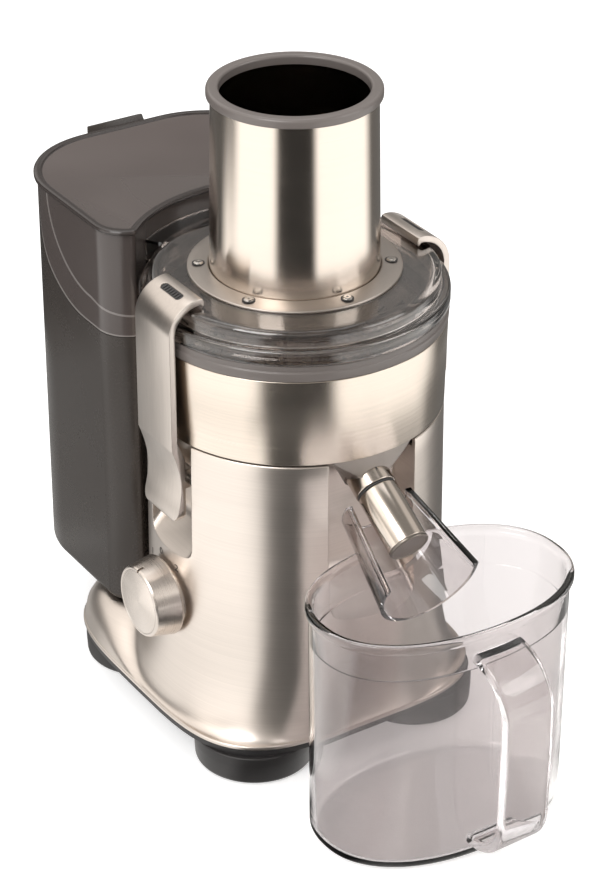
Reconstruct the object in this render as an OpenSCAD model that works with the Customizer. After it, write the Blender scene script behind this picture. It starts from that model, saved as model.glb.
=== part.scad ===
// Centrifugal juicer: cast power unit, spinning filter basket, smoked lid with a steel
// feed chute, two side clamps, pulp bin at the back and juice jug under the spout.
// The spin axis is vertical; the spout points to -Y, the pulp bin to +Y, the knob to -X.

/* [Base] */
// Width of the plinth
base_w = 197; // [190:1:215]
// Reach of the plinth in front of the spin axis
base_front = 83; // [78:1:92]
// Reach of the plinth behind the spin axis
base_rear = 134; // [120:1:150]
// Squareness of the plinth outline (2 is an ellipse)
base_square = 3.8; // [3:0.1:6]
// Height of the metal skirt edge above the table
skirt_z = 22.4; // [18:0.2:26]
// Height of the upright edge of the skirt
skirt_rim = 2.6; // [2:0.2:8]
// Height at which the flare meets the column
flare_top = 82; // [76:1:92]
// Height of the shelf that carries the pulp bin
deck_z = 46; // [42:1:52]
// How far the rounded edge of that shelf is set back
shelf_edge = 22; // [8:1:30]
// Wall of the casting
wall = 3; // [2.4:0.2:4]
// Radius of a foot
foot_r = 36; // [26:1:38]
// Sideways distance of a foot from the spin axis
foot_x = 56; // [46:1:58]
// Distance of the front feet in front of the axis
foot_front = 44; // [36:1:46]
// Distance of the rear feet behind the axis
foot_rear = 88; // [76:1:92]
// Thickness of the bottom cover
cover_t = 5; // [4.5:0.5:7]
// How far the cover stands down below the skirt
cover_drop = 4; // [3:0.5:4]

/* [Column] */
// Radius of the column at its foot
column_r = 87.6; // [84:0.2:90]
// Radius of the column at its top
column_top_r = 86.4; // [82:0.2:87]
// Height of the column top
column_z = 204.6; // [196:0.5:215]
// Half width of the recess behind the spout
recess_half = 29; // [26:1:34]
// Distance of the recess back wall from the axis
recess_back = 58; // [56:0.5:60]
// Height of the recess floor at its front edge
recess_z = 104; // [90:1:120]

/* [Clamps] */
// Width of a clamp arm
clamp_w = 38; // [32:1:44]
// Distance of the arm's outer face from the axis
clamp_face = 93.6; // [93:0.2:96]
// Thickness of the arm
clamp_t = 3.8; // [3:0.2:4.2]
// Distance of the hook's nose from the axis
hook_nose = 71; // [69:0.5:73]
// Height of the top of the hook
hook_z = 293.8; // [293:0.2:297]
// Outer radius of the bend between arm and hook
clamp_bend = 20; // [14:0.5:21]
// Height of the clamp's pivot
clamp_pivot_z = 178; // [172:1:186]
// Distance of the clamp's pivot from the axis
clamp_pivot_x = 79; // [78:0.5:80]
// Radius of the pivot pin
clamp_pin_r = 2.5; // [2:0.1:3]
// Height of the lower end of the paddle
paddle_z = 154; // [150:1:160]
// Thickness of the paddle
paddle_t = 8.4; // [8:0.2:10]
// Radius of the paddle's lower corners
paddle_corner = 8; // [2:0.5:12]
// Depth of the dished thumb face
paddle_dish = 4.6; // [2:0.2:5]
// Width of the finger recess
scoop_w = 45; // [43:1:52]
// Distance of the finger recess's back wall from the axis
scoop_back = 70; // [68:0.5:73]
// Height of the lower end of the finger recess
scoop_z = 131; // [126:1:140]

/* [Speed knob] */
// Radius of the knob at its back
knob_r = 24.4; // [21:0.2:26]
// How much narrower the knob's face is than its back
knob_taper = 2.9; // [1:0.1:4]
// Length of the knob
knob_len = 17; // [14:0.5:22]
// Sideways place of the knob, towards the bin
knob_y = 4; // [-4:1:8]
// Height of the knob's axis
knob_z = 95; // [92:1:98]
// Radius of the knob's spindle
spindle_r = 3; // [2.5:0.5:4]

/* [Drive] */
// Radius of the motor shaft
shaft_r = 4; // [3:0.5:5]
// Radius of the stator
stator_r = 48; // [42:1:52]
// Height of the stator's lower face
stator_z = 78; // [74:1:84]
// Length of the stator
stator_h = 44; // [36:1:50]
// Radius of the armature
armature_r = 27; // [22:0.5:29]
// Radius of the drive coupling
coupling_r = 12; // [10:0.5:14]
// Height of the top of the drive coupling
coupling_z = 221; // [219:0.5:222]

/* [Filter bowl] */
// Height of the steel band's lower edge
band_z = 205.8; // [205.6:0.1:206]
// Height of the steel band
band_h = 53.3; // [50:0.1:56]
// Radius of the band at its lower edge
band_r = 86.5; // [86:0.1:87]
// Radius of the band at its upper edge
band_top_r = 87.7; // [87.2:0.1:88]
// Thickness of the steel band
band_t = 0.9; // [0.6:0.1:1.2]
// Radius of the ring at the bowl's rim
ring_r = 88.2; // [87.8:0.1:88.4]
// Height of the ring at the bowl's rim
ring_h = 9.9; // [8:0.1:11]
// Wall of the bowl
bowl_t = 2.6; // [2:0.2:3.2]
// Height of the juice gutter's floor above the band's edge
gutter_h = 7.2; // [6:0.2:9]

/* [Spout] */
// Slope of the spout below level, in degrees
spout_drop = 30; // [26:1:34]
// Distance of the pipe's root from the axis
spout_y = 71; // [69:0.5:72]
// Height of the pipe's root
spout_z = 191; // [189:0.5:192]
// Radius of the fixed collar
spout_r = 12.3; // [10.5:0.1:13]
// Length from the root to the turning sleeve
spout_collar = 17; // [15:0.5:20]
// Length from the root to the tip
spout_len = 57; // [52:0.5:60]
// Radius of the turning sleeve
sleeve_r = 12; // [11.4:0.1:12.6]
// Wall of the turning sleeve
sleeve_t = 1.2; // [1:0.1:1.6]
// Diameter of the outlets in pipe and sleeve
outlet_d = 13; // [10:0.5:15]

/* [Basket] */
// Radius of the grating disc
disc_r = 47; // [42:0.5:50]
// Height of the grating disc's upper face
disc_z = 225.6; // [225:0.1:226.4]
// Radius of the basket's rim
basket_r = 78; // [74:0.5:79.5]
// Height of the basket's rim
basket_z = 256; // [252:0.5:258]
// Thickness of the sieve
sieve_t = 1; // [0.8:0.1:1.4]
// Height of a grating tooth
tooth_h = 1.6; // [1:0.2:2.2]

/* [Lid and chute] */
// Radius of the lid's rim
lid_r = 88.6; // [88:0.1:89]
// Height of the lid's rim
lid_rim_h = 9.3; // [8:0.1:10]
// Radius of the lid's flat top
lid_flat_r = 80; // [76:0.5:80.5]
// Height of the lid's flat top
lid_z = 287.6; // [286:0.1:289]
// Wall of the lid
lid_t = 2.6; // [2:0.2:3.2]
// Radius of the feed chute's bore
chute_r = 42; // [38:0.5:42.5]
// Wall of the feed chute's tube
chute_t = 3; // [2.4:0.2:3.2]
// Height of the chute's mouth
chute_z = 397.7; // [370:1:420]
// Height of the chute's lower end
chute_low_z = 231; // [230:0.5:236]
// Radius of the steel sleeve at its top
tube_top_r = 46.9; // [46.7:0.1:47.4]
// Radius of the steel sleeve at its foot
tube_r = 48.7; // [48:0.1:49]
// Thickness of the steel sleeve
tube_t = 1; // [0.8:0.1:1.2]
// Radius of the collar round the mouth
collar_r = 49.2; // [48.6:0.1:51]
// Height of the collar
collar_h = 5.6; // [4:0.2:10]
// Width of the fin inside the chute
fin_w = 10; // [5:0.5:14]
// Thickness of that fin
fin_t = 3; // [2:0.2:4]
// Outer radius of the bezel ring
bezel_r = 61.3; // [60:0.1:63]
// Radius of the bezel's screw circle
screw_circle = 54.6; // [53:0.1:56]

/* [Pulp bin] */
// Width of the bin
bin_w = 163; // [158:1:166]
// Distance of the bin's back from the axis
bin_back = 198.5; // [180:0.5:205]
// Radius of the bin's hollow front
bin_front_r = 94; // [93.6:0.2:96]
// Radius of the bin's rear corners
bin_corner = 56; // [50:1:70]
// Radius of the bin's front corners
bin_front_corner = 20.5; // [18:0.5:26]
// Wall of the bin
bin_t = 2.4; // [2:0.2:3]
// Height of the hood's top
hood_z = 300; // [298:0.5:304]
// Height of the hood's lower edge at the sides
seam_z = 231; // [222:1:240]
// Distance of the hood's lower rear corner from the axis
seam_back = 163; // [150:1:170]
// Radius of the hood's lower rear corner
seam_r = 60; // [30:1:64]

/* [Jug] */
// Height of the jug
jug_h = 152; // [130:1:152.5]
// Width of the jug at its rim
jug_w = 157; // [140:1:160]
// Depth of the jug at its rim
jug_d = 104; // [100:1:112]
// Width of the jug at its foot
jug_foot_w = 154; // [120:1:160]
// Depth of the jug at its foot
jug_foot_d = 104; // [92:1:106]
// Distance of the jug's middle from the spin axis
jug_y = 146.5; // [144:0.5:150]
// Sideways place of the jug
jug_x = 3; // [-4:0.5:8]
// Wall of the jug
jug_t = 2.8; // [2.2:0.2:3.4]
// Reach of the handle from the jug's middle
handle_reach = 83; // [82:1:92]
// Width of the handle
handle_w = 33; // [22:1:34]
// Thickness of the handle
handle_t = 7; // [5:0.5:9]
// Radius of the froth guard at its narrow end
guard_r = 22.6; // [21:0.2:23]
// Radius of the froth guard at its wide end
guard_wide = 32; // [26:1:36]
// Length of the froth guard
guard_len = 60; // [50:1:64]

/* [Hidden] */
$fn = 96;

// clearances
fit = 0.3;          // between bodies that pass each other
snug = 0.1;         // between pieces of one body
pin_play = 0.06;    // radial, at a pivot
seat = 0.4;         // between a closed clamp and the lid

// places that follow from the sizes above
knob_face = column_r + fit + 0.6 + knob_len;
tab_reach = 9;
axis_x = (knob_face - base_w / 2) / 2;
axis_y = (jug_y + handle_reach - bin_back - tab_reach) / 2;
base_mid = (base_rear - base_front) / 2;
base_half_d = (base_rear + base_front) / 2;
skirt_top = skirt_z + skirt_rim;
cover_z = skirt_z - cover_drop;
deck_t = 6;
deck_r = column_top_r - wall;
cavity_r = deck_r - 2;
band_top = band_z + band_h;
ring_top = band_top + ring_h;
bowl_r = band_r - band_t - snug;
gutter_z = band_z + gutter_h;
gutter_in = 54;
rim_inner = bowl_r - bowl_t;
lid_rim_top = ring_top + lid_rim_h;
bearing_r = 11;
hub_r = coupling_r + 4;
fin_turn = -133;
jug_square = 2.2;
jug_edge = 6;
guard_x = recess_half - 1.4 - guard_r;
spout_bore = sleeve_r - sleeve_t - fit - 2;
tab_w = 44;
pad_w = 5;
pad_len = 21;
pad_depth = 1.6;
pin_half = scoop_w / 2 + 2;

module on_axis() {
    translate([axis_x, axis_y, 0])
        children();
}

module ring(r_out, r_in, h) {
    difference() {
        cylinder(r = r_out, h = h);
        translate([0, 0, -1])
            cylinder(r = r_in, h = h + 2);
    }
}

module around(count, start = 0) {
    for (i = [0:count - 1])
        rotate([0, 0, start + i * 360 / count])
            children();
}

// ---- outlines ---------------------------------------------------------------

function power(v, e) = sign(v) * pow(abs(v), 2 / e);

// superellipse with half axes a and b, shifted by mid along Y
function squared(a, b, e, mid, steps = 72) =
    [for (i = [0:steps - 1])
        [a * power(cos(i * 360 / steps), e), mid + b * power(sin(i * 360 / steps), e)]];

function mix(p, q, t) = p * (1 - t) + q * t;

function arc(x, y, rx, ry, from, to, steps = 10) =
    [for (k = [0:steps]) [x + rx * cos(mix(from, to, k / steps)), y + ry * sin(mix(from, to, k / steps))]];

// skin between closed outlines of the same number of points, at rising heights
module loft(outlines, heights) {
    skin([for (k = [0:len(heights) - 1]) [for (p = outlines[k]) [p[0], p[1], heights[k]]]]);
}

// skin between closed rings of points; the first and the last ring are level
module skin(rings) {
    n = len(rings[0]);
    last = len(rings) - 1;
    points = [for (r = rings) for (p = r) p];
    sides = [for (k = [0:last - 1]) for (i = [0:n - 1])
        [k * n + i, (k + 1) * n + i, (k + 1) * n + (i + 1) % n, k * n + (i + 1) % n]];
    bottom = [[for (i = [0:n - 1]) i]];
    top = [[for (i = [0:n - 1]) last * n + n - 1 - i]];
    polyhedron(points = points, faces = concat(bottom, sides, top), convexity = 6);
}

module plinth_plan(inset = 0) {
    polygon(squared(base_w / 2 - inset, base_half_d - inset, base_square, base_mid));
}

// plan of bin and hood: round corners at the back, hollow front round the column
module bin_plan(inset = 0, grow = 0) {
    half = bin_w / 2 + grow;
    back = bin_back + grow;
    front = sqrt(pow(bin_front_r, 2) - pow(half - 14, 2));
    difference() {
        union() {
            for (side = [-1, 1]) {
                translate([side * (half - bin_corner), back - bin_corner])
                    circle(r = bin_corner - inset);
                translate([side * (half - bin_front_corner), front + bin_front_corner])
                    circle(r = bin_front_corner - inset);
            }
            translate([-(half - bin_corner), back - bin_corner])
                square([2 * (half - bin_corner), bin_corner - inset]);
            translate([-(half - inset), front + bin_front_corner])
                square([2 * (half - inset), back - bin_corner - front - bin_front_corner]);
            translate([-(half - bin_front_corner), front + inset])
                square([2 * (half - bin_front_corner), bin_front_corner]);
        }
        circle(r = bin_front_r + inset - grow, $fn = 180);
    }
}

// side view of the space that the hood's skirt takes, grown by gap
module seam_side(gap = 0) {
    front = 40;
    low = seam_z - gap;
    back = seam_back + gap;
    r = seam_r + gap;
    rotate([90, 0, 90])
        translate([0, 0, -base_w])
            linear_extrude(2 * base_w) {
                translate([front, low])
                    square([back - r - front, hood_z + 10 - low]);
                translate([front, low + r])
                    square([back - front, hood_z + 10 - low - r]);
                translate([back - r, low + r])
                    circle(r = r);
            }
}

module along_spout(s = 0) {
    translate([0, -spout_y, spout_z])
        rotate([90 + spout_drop, 0, 0])
            translate([0, 0, s])
                children();
}

// ---- power unit -------------------------------------------------------------

// height of the plinth above its skirt: a hollow flare that climbs to the column, and towards
// the rear a shelf with a rounded shoulder; in is the part of the way from skirt to column
function flare(in) = (flare_top - skirt_top) * (1 - sqrt(1 - in * in));

function shelf(set_back, y) =
    let (
        along = max(0, min(1, (y - 10) / 78)),
        edge = 1 - min(1, set_back / shelf_edge)
    )
    (deck_z + 0.8 - skirt_top) * along * along * (3 - 2 * along) * sqrt(1 - edge * edge);

module plinth_top() {
    ways = [0, 0.03, 0.08, 0.15, 0.26, 0.42, 0.6, 0.78, 0.9, 0.97, 1];
    foot = squared(base_w / 2, base_half_d, base_square, base_mid, 60);
    skin([for (in = ways) [for (p = foot)
        let (
            run = norm(p) - column_r + 0.1,
            q = p * (1 - in * run / norm(p)),
            f = flare(in),
            h = in == 1 ? 0 : shelf(max(0, in * run), p[1])
        )
        [q[0], q[1], skirt_top + pow(pow(f, 3) + pow(h, 3), 1 / 3)]]]);
    translate([0, 0, skirt_z])
        linear_extrude(skirt_rim + 0.01)
            polygon(foot);
}

module scoop(grow = 0) {
    w = scoop_w + 2 * grow;
    for (side = [0, 1])
        mirror([side, 0, 0])
            translate([0, w / 2, 0])
                rotate([90, 0, 0])
                    linear_extrude(w)
                        polygon([
                            [scoop_back - grow, column_z + 1],
                            [scoop_back - grow, scoop_z + 16 - grow],
                            [column_r + 12, scoop_z - 18 - grow],
                            [column_r + 12, column_z + 1]
                        ]);
}

module front_recess(grow = 0) {
    half = recess_half + grow;
    translate([half, 0, 0])
        rotate([0, -90, 0])
            linear_extrude(2 * half)
                polygon([
                    [column_z + 1, -(recess_back - grow)],
                    [recess_z + 20 - grow, -(recess_back - grow)],
                    [recess_z - 12 - grow, -(column_r + 10)],
                    [column_z + 1, -(column_r + 10)]
                ]);
}

module body_shell() {
    pin_r = clamp_pin_r + snug;
    color("lightgray")
        on_axis()
            difference() {
                union() {
                    translate([0, 0, skirt_top])
                        cylinder(r1 = column_r, r2 = column_top_r, h = column_z - skirt_top, $fn = 180);
                    plinth_top();
                    // boss behind the knob
                    translate([-knob_seat(), knob_y, knob_z])
                        rotate([0, 90, 0])
                            cylinder(r = knob_r - 4, h = knob_seat() - cavity_r);
                }
                // hollow for the motor, with walls kept round the outer recesses
                difference() {
                    translate([0, 0, skirt_z - 1])
                        cylinder(r = cavity_r, h = column_z - skirt_z);
                    scoop(wall);
                    front_recess(wall);
                    // boss that carries the switch behind the knob
                    translate([-column_r, knob_y, knob_z])
                        rotate([0, 90, 0])
                            cylinder(r = 14, h = 12);
                }
                // seat of the deck
                translate([0, 0, column_z - deck_t])
                    deck_blank(0);
                scoop();
                front_recess();
                // shelf for the pulp bin
                translate([0, 0, deck_z])
                    linear_extrude(flare_top)
                        bin_plan(grow = fit);
                // room for the bottom cover
                translate([0, 0, skirt_z - 1])
                    linear_extrude(cover_t - cover_drop + 1)
                        plinth_plan(wall);
                // spindle hole, and room for the knob where the flare comes close
                translate([-knob_face, knob_y, knob_z])
                    rotate([0, 90, 0]) {
                        cylinder(r = spindle_r + fit, h = knob_face - recess_back);
                        cylinder(r = knob_r + 1, h = knob_len + fit);
                    }
                // holes for the clamp pins
                for (side = [0, 1])
                    mirror([side, 0, 0])
                        translate([clamp_pivot_x, pin_half + snug, clamp_pivot_z])
                            rotate([90, 0, 0])
                                cylinder(r = pin_r, h = 2 * (pin_half + snug));
                // hole for the mains cable gland
                translate([0, base_rear - 20, skirt_top + 8])
                    rotate([-90, 0, 0])
                        cylinder(r = 7 + snug, h = 30);
                translate([0, base_rear - 60, skirt_top + 8])
                    rotate([-90, 0, 0])
                        cylinder(r = 5, h = 45);
            }
}

// distance from the axis of the flat face behind the knob
function knob_seat() = knob_face - knob_len - fit;

module deck_blank(gap) {
    difference() {
        cylinder(r = deck_r - gap, h = deck_t + 1);
        translate([0, 0, -column_z + deck_t]) {
            scoop(wall + gap);
            front_recess(wall + gap);
        }
    }
}

module top_deck() {
    color("dimgray")
        on_axis()
            difference() {
                translate([0, 0, column_z - deck_t])
                    intersection() {
                        deck_blank(snug);
                        cylinder(r = column_r, h = deck_t);
                    }
                translate([0, 0, column_z - deck_t - 1])
                    cylinder(r = 20, h = deck_t + 2);
            }
}

module shaft_seal() {
    color("black")
        on_axis()
            translate([0, 0, column_z - deck_t])
                difference() {
                    union() {
                        cylinder(r = 20 - snug, h = deck_t);
                        translate([0, 0, -1.5])
                            cylinder(r = 22, h = 1.5);
                    }
                    translate([0, 0, -3])
                        cylinder(r = shaft_r + fit, h = deck_t + 4);
                }
}

module base_cover() {
    color("black")
        on_axis()
            difference() {
                union() {
                    translate([0, 0, cover_z])
                        linear_extrude(cover_drop - snug)
                            plinth_plan(1);
                    translate([0, 0, cover_z])
                        linear_extrude(cover_t)
                            plinth_plan(wall + fit);
                }
                // slots under the motor that let the cooling air in
                for (i = [-4:4])
                    translate([i * 7 - 1.5, -22, cover_z - 1])
                        cube([3, 44, cover_t + 2]);
                foot_places()
                    cylinder(r = 2.4, h = 3 * cover_z, center = true);
            }
}

module foot_places() {
    for (side = [-1, 1]) {
        translate([side * foot_x, -foot_front, 0])
            children();
        translate([side * foot_x, foot_rear, 0])
            children();
    }
}

module foot(x, y) {
    color("black")
        on_axis()
            translate([x, y, 0])
                rotate_extrude()
                    polygon([
                        [4.6, 0], [foot_r - 2.4, 0], [foot_r - 0.8, 1.6], [foot_r, cover_z],
                        [2.4, cover_z], [2.4, cover_z - 6], [4.6, cover_z - 6]
                    ]);
}

module foot_front_left() foot(-foot_x, -foot_front);
module foot_front_right() foot(foot_x, -foot_front);
module foot_rear_left() foot(-foot_x, foot_rear);
module foot_rear_right() foot(foot_x, foot_rear);

module cover_screws() {
    color("silver")
        on_axis()
            foot_places()
                translate([0, 0, cover_z - 9]) {
                    cylinder(r = 4.2, h = 3);
                    translate([0, 0, 3])
                        cylinder(r = 2.3, h = 6 + cover_t - snug);
                }
}

module cord_gland() {
    color("black")
        on_axis()
            translate([0, base_rear - 20, skirt_top + 8])
                rotate([-90, 0, 0])
                    difference() {
                        union() {
                            translate([0, 0, 0.1])
                                cylinder(r = 7, h = 18);
                            translate([0, 0, 17])
                                cylinder(r1 = 7, r2 = 5, h = 10);
                        }
                        translate([0, 0, -1])
                            cylinder(r = 3.6, h = 40);
                    }
}

// ---- motor ------------------------------------------------------------------

// four-armed plate from z upwards, with posts to the stator and hollow pillars, each given
// by its lower and upper end; one bolt hole runs through pillar and plate
module bracket(z, post, pillar) {
    plate_t = 8;
    low = min(z, pillar[0]);
    high = max(z + plate_t, pillar[1]);
    difference() {
        union() {
            translate([0, 0, z])
                linear_extrude(plate_t) {
                    circle(r = 17);
                    around(4, 45)
                        translate([0, -7])
                            square([stator_r + 4, 14]);
                    around(4, 45)
                        translate([stator_r + 4, 0])
                            circle(r = 8);
                }
            around(4, 45) {
                translate([stator_r - 6, 0, post[0]])
                    cylinder(r = 4, h = post[1] - post[0]);
                translate([stator_r + 4, 0, pillar[0]])
                    cylinder(r = 6, h = pillar[1] - pillar[0]);
            }
        }
        translate([0, 0, z - 1])
            cylinder(r = bearing_r + snug, h = plate_t + 2);
        around(4, 45)
            translate([stator_r + 4, 0, low - 1])
                cylinder(r = 2.2, h = high - low + 2);
    }
}

module motor_bracket() {
    top = stator_z + stator_h;
    color("gray")
        on_axis()
            bracket(top + 24, [top, top + 26], [top + 30, column_z - deck_t]);
}

module lower_bracket() {
    color("gray")
        on_axis()
            bracket(stator_z - 30, [stator_z - 24, stator_z], [cover_z + cover_t, stator_z - 28]);
}

module stator() {
    color("dimgray")
        on_axis()
            translate([0, 0, stator_z])
                difference() {
                    cylinder(r = stator_r, h = stator_h);
                    translate([0, 0, -1])
                        cylinder(r = armature_r + 0.8, h = stator_h + 2);
                    for (side = [0, 180])
                        rotate([0, 0, side])
                            translate([armature_r, -14, -1])
                                cube([10, 28, stator_h + 2]);
                }
}

module stator_coils() {
    color("chocolate")
        on_axis()
            translate([0, 0, stator_z])
                for (side = [0, 180])
                    rotate([0, 0, side]) {
                        translate([armature_r + 1.6, -13, -7])
                            cube([8, 26, stator_h + 14]);
                        translate([armature_r + 1.6, -18, stator_h + 1])
                            cube([8, 36, 6]);
                        translate([armature_r + 1.6, -18, -7])
                            cube([8, 36, 6]);
                    }
}

module bearing(z) {
    color("silver")
        on_axis()
            translate([0, 0, z]) {
                ring(bearing_r, 8.6, 7);
                ring(8.4, shaft_r + pin_play, 7);
                translate([0, 0, 1.5])
                    ring(8.65, 8.35, 4);
            }
}

module upper_bearing() bearing(stator_z + stator_h + 24.5);
module lower_bearing() bearing(stator_z - 29.5);

module brush_gear() {
    color("saddlebrown")
        on_axis()
            for (side = [0, 180])
                rotate([0, 0, side])
                    translate([0, 0, stator_z + stator_h + 9]) {
                        translate([14.4, -3, 1])
                            cube([10, 6, 5]);
                        translate([24.4, -5, -1])
                            cube([stator_r - 26, 10, 9]);
                    }
}

module control_board() {
    color("darkgreen")
        on_axis()
            translate([-26, 62, cover_z + cover_t + 4]) {
                difference() {
                    cube([52, 1.6, 30]);
                    translate([4, -1, 26])
                        rotate([-90, 0, 0])
                            cylinder(r = 1.6, h = 4);
                }
                translate([6, -9, 4])
                    cube([14, 9, 12]);
                translate([28, -12, 4])
                    cube([16, 12, 16]);
                translate([0, 0, -4])
                    cube([52, 1.6, 4]);
            }
}

module speed_switch() {
    seat_x = column_r - 12;
    color("dimgray")
        on_axis()
            translate([-seat_x, knob_y, knob_z])
                rotate([0, 90, 0])
                    difference() {
                        cylinder(r = 13, h = 14);
                        translate([0, 0, -1])
                            cylinder(r = spindle_r + pin_play, h = 11);
                    }
}

module lock_switches() {
    color("black")
        on_axis()
            for (side = [0, 1])
                mirror([side, 0, 0])
                    translate([scoop_back - wall - 7, -8, clamp_pivot_z - 24])
                        cube([7, 16, 12]);
}

// ---- spinning parts ---------------------------------------------------------

module motor_shaft() {
    color("silver")
        on_axis()
            translate([0, 0, stator_z - 40])
                cylinder(r = shaft_r, h = coupling_z - 4 - stator_z + 40);
}

module armature() {
    color("gray")
        on_axis()
            translate([0, 0, stator_z + 1])
                difference() {
                    cylinder(r = armature_r, h = stator_h - 2);
                    translate([0, 0, -1])
                        cylinder(r = shaft_r + snug / 2, h = stator_h);
                    around(12)
                        translate([armature_r - 6, -1.2, -1])
                            cube([7, 2.4, stator_h]);
                }
}

module commutator() {
    color("peru")
        on_axis()
            translate([0, 0, stator_z + stator_h + 6])
                difference() {
                    cylinder(r = 14, h = 12);
                    translate([0, 0, -1])
                        cylinder(r = shaft_r + snug / 2, h = 14);
                    around(16)
                        translate([12.6, -0.4, -1])
                            cube([2, 0.8, 14]);
                }
}

module cooling_fan() {
    color("whitesmoke")
        on_axis()
            translate([0, 0, stator_z - 20]) {
                ring(9, shaft_r + snug / 2, 9);
                ring(34, 8.9, 1.6);
                around(11)
                    translate([8.5, 0, 1.4])
                        rotate([0, 0, 24])
                            cube([24, 1.6, 7.6]);
            }
}

module drive_coupling() {
    low = column_z + 1;
    color("black")
        on_axis()
            translate([0, 0, low])
                difference() {
                    cylinder(r = coupling_r, h = coupling_z - low);
                    translate([0, 0, -1])
                        cylinder(r = shaft_r + snug / 2, h = coupling_z - low - 2.4);
                    around(6)
                        translate([coupling_r, 0, -1])
                            cylinder(r = 1.8, h = coupling_z - low + 2, $fn = 24);
                }
}

module basket_hub() {
    low = gutter_z - 4;
    floor_z = disc_z - sieve_t - 2.6;
    color("gray")
        on_axis()
            difference() {
                union() {
                    translate([0, 0, low])
                        cylinder(r = hub_r, h = floor_z - low);
                    translate([0, 0, floor_z])
                        cylinder(r = disc_r + 2, h = 2.6 - 0.05);
                }
                // socket that drops over the drive coupling
                translate([0, 0, low - 1])
                    cylinder(r = coupling_r + snug, h = coupling_z + 0.2 - low + 1);
                around(18, 10)
                    translate([disc_r - 6, 0, floor_z - 1])
                        cylinder(r = 2.4, h = 5, $fn = 24);
            }
}

module grating_disc() {
    rows = [16, 23, 30, 37, 43.5];
    top = disc_z;
    color("silver")
        on_axis() {
            difference() {
                translate([0, 0, top - sieve_t])
                    cylinder(r = disc_r, h = sieve_t);
                around(3)
                    translate([8, 0, top - 3])
                        cylinder(r = 1.6, h = 5, $fn = 24);
            }
            for (k = [0:len(rows) - 1])
                around(8 + 3 * k, 11 * k)
                    translate([rows[k], 0, top - 0.05])
                        grating_tooth();
        }
}

// one raised, raked tooth of the grating disc
module grating_tooth() {
    rotate([90, 0, 20])
        translate([0, 0, -1.2])
            linear_extrude(2.4)
                polygon([[-1.8, 0], [1.8, 0], [1.5, tooth_h]]);
}

module sieve() {
    low_r = disc_r + 0.2;
    high_r = basket_r - 4.2;
    low_z = disc_z - sieve_t;
    high_z = basket_z - 4;
    slope = atan2(high_r - low_r, high_z - low_z);
    rows = 3;
    color("silver")
        on_axis()
            difference() {
                rotate_extrude($fn = 144)
                    polygon([
                        [low_r, low_z], [low_r + sieve_t, low_z],
                        [high_r + sieve_t, high_z], [high_r, high_z]
                    ]);
                for (k = [1:rows])
                    around(18, 10 * (k % 2)) {
                        t = k / (rows + 1);
                        translate([mix(low_r, high_r, t), 0, mix(low_z, high_z, t)])
                            rotate([0, 90 - slope, 0])
                                cylinder(r = 1.6, h = 6, center = true, $fn = 16);
                    }
            }
}

module basket_rim() {
    low = basket_z - 4;
    inner = basket_r - 4.2 + sieve_t + 0.05;
    color("silver")
        on_axis()
            rotate_extrude($fn = 144)
                polygon([
                    [inner, low - 4], [inner + 1.4, low - 4], [basket_r, low + 1],
                    [basket_r, basket_z], [inner - sieve_t, basket_z],
                    [inner - sieve_t, low + 0.05], [inner, low + 0.05]
                ]);
}

// ---- filter bowl and spout --------------------------------------------------

module filter_bowl() {
    collar = hub_r + 2;
    color("gray")
        on_axis()
            difference() {
                union() {
                    rotate_extrude($fn = 180)
                        polygon([
                            [collar, band_z], [bowl_r, band_z], [bowl_r, band_top],
                            [ring_r, band_top + 0.1], [ring_r, ring_top], [rim_inner, ring_top],
                            [rim_inner, gutter_z + 1], [rim_inner - 1, gutter_z],
                            [gutter_in + 3, gutter_z], [gutter_in - 2, gutter_z + 5],
                            [collar + 2.4, gutter_z + 4], [collar + 2.4, gutter_z + 6.4],
                            [collar, gutter_z + 6.4]
                        ]);
                    // funnel that leads down to the spout's root
                    intersection() {
                        union() {
                            along_spout(-26)
                                cylinder(r = spout_r + 1.2, h = 30);
                            translate([0, -spout_y, spout_z - 4])
                                cylinder(r1 = spout_r, r2 = recess_half - 1.5, h = band_z - spout_z + 5);
                        }
                        translate([-recess_half, -column_r, spout_z - 20])
                            cube([2 * recess_half, column_r - recess_back - fit, gutter_z - spout_z + 20]);
                        cylinder(r = bowl_r - snug, h = gutter_z);
                    }
                }
                // passage from the gutter into the pipe
                along_spout(-40)
                    cylinder(r = spout_bore, h = 60);
                along_spout(-6)
                    cylinder(r = spout_r + snug, h = 40);
            }
}

module steel_band() {
    color("silver")
        on_axis()
            translate([0, 0, band_z])
                difference() {
                    cylinder(r1 = band_r, r2 = band_top_r, h = band_h, $fn = 180);
                    translate([0, 0, -1])
                        cylinder(r = band_r - band_t, h = band_h + 2, $fn = 180);
                }
}

module spout_pipe() {
    nozzle = sleeve_r - sleeve_t - fit;
    color("silver")
        on_axis()
            along_spout(-6)
                difference() {
                    union() {
                        cylinder(r = spout_r, h = 6 + spout_collar);
                        cylinder(r = nozzle, h = 6 + spout_len - 5);
                    }
                    translate([0, 0, -1])
                        cylinder(r = spout_bore, h = 6 + spout_len - 5);
                    translate([0, 0, 6 + spout_len - 5 - outlet_d])
                        rotate([90, 0, 0])
                            cylinder(r = outlet_d / 2, h = 20);
                }
}

module spout_ring() {
    color("black")
        on_axis()
            along_spout(spout_collar + 0.05)
                ring(sleeve_r - 0.3, sleeve_r - sleeve_t - fit + 0.05, 1.4);
}

module spout_sleeve() {
    length = spout_len - spout_collar - 3.6;
    color("silver")
        on_axis()
            along_spout(spout_collar + 1.8)
                difference() {
                    ring(sleeve_r, sleeve_r - sleeve_t, length);
                    translate([0, 0, spout_len - 5 - outlet_d - spout_collar - 1.8])
                        rotate([90, 0, 0])
                            cylinder(r = outlet_d / 2, h = 20);
                }
}

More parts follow.
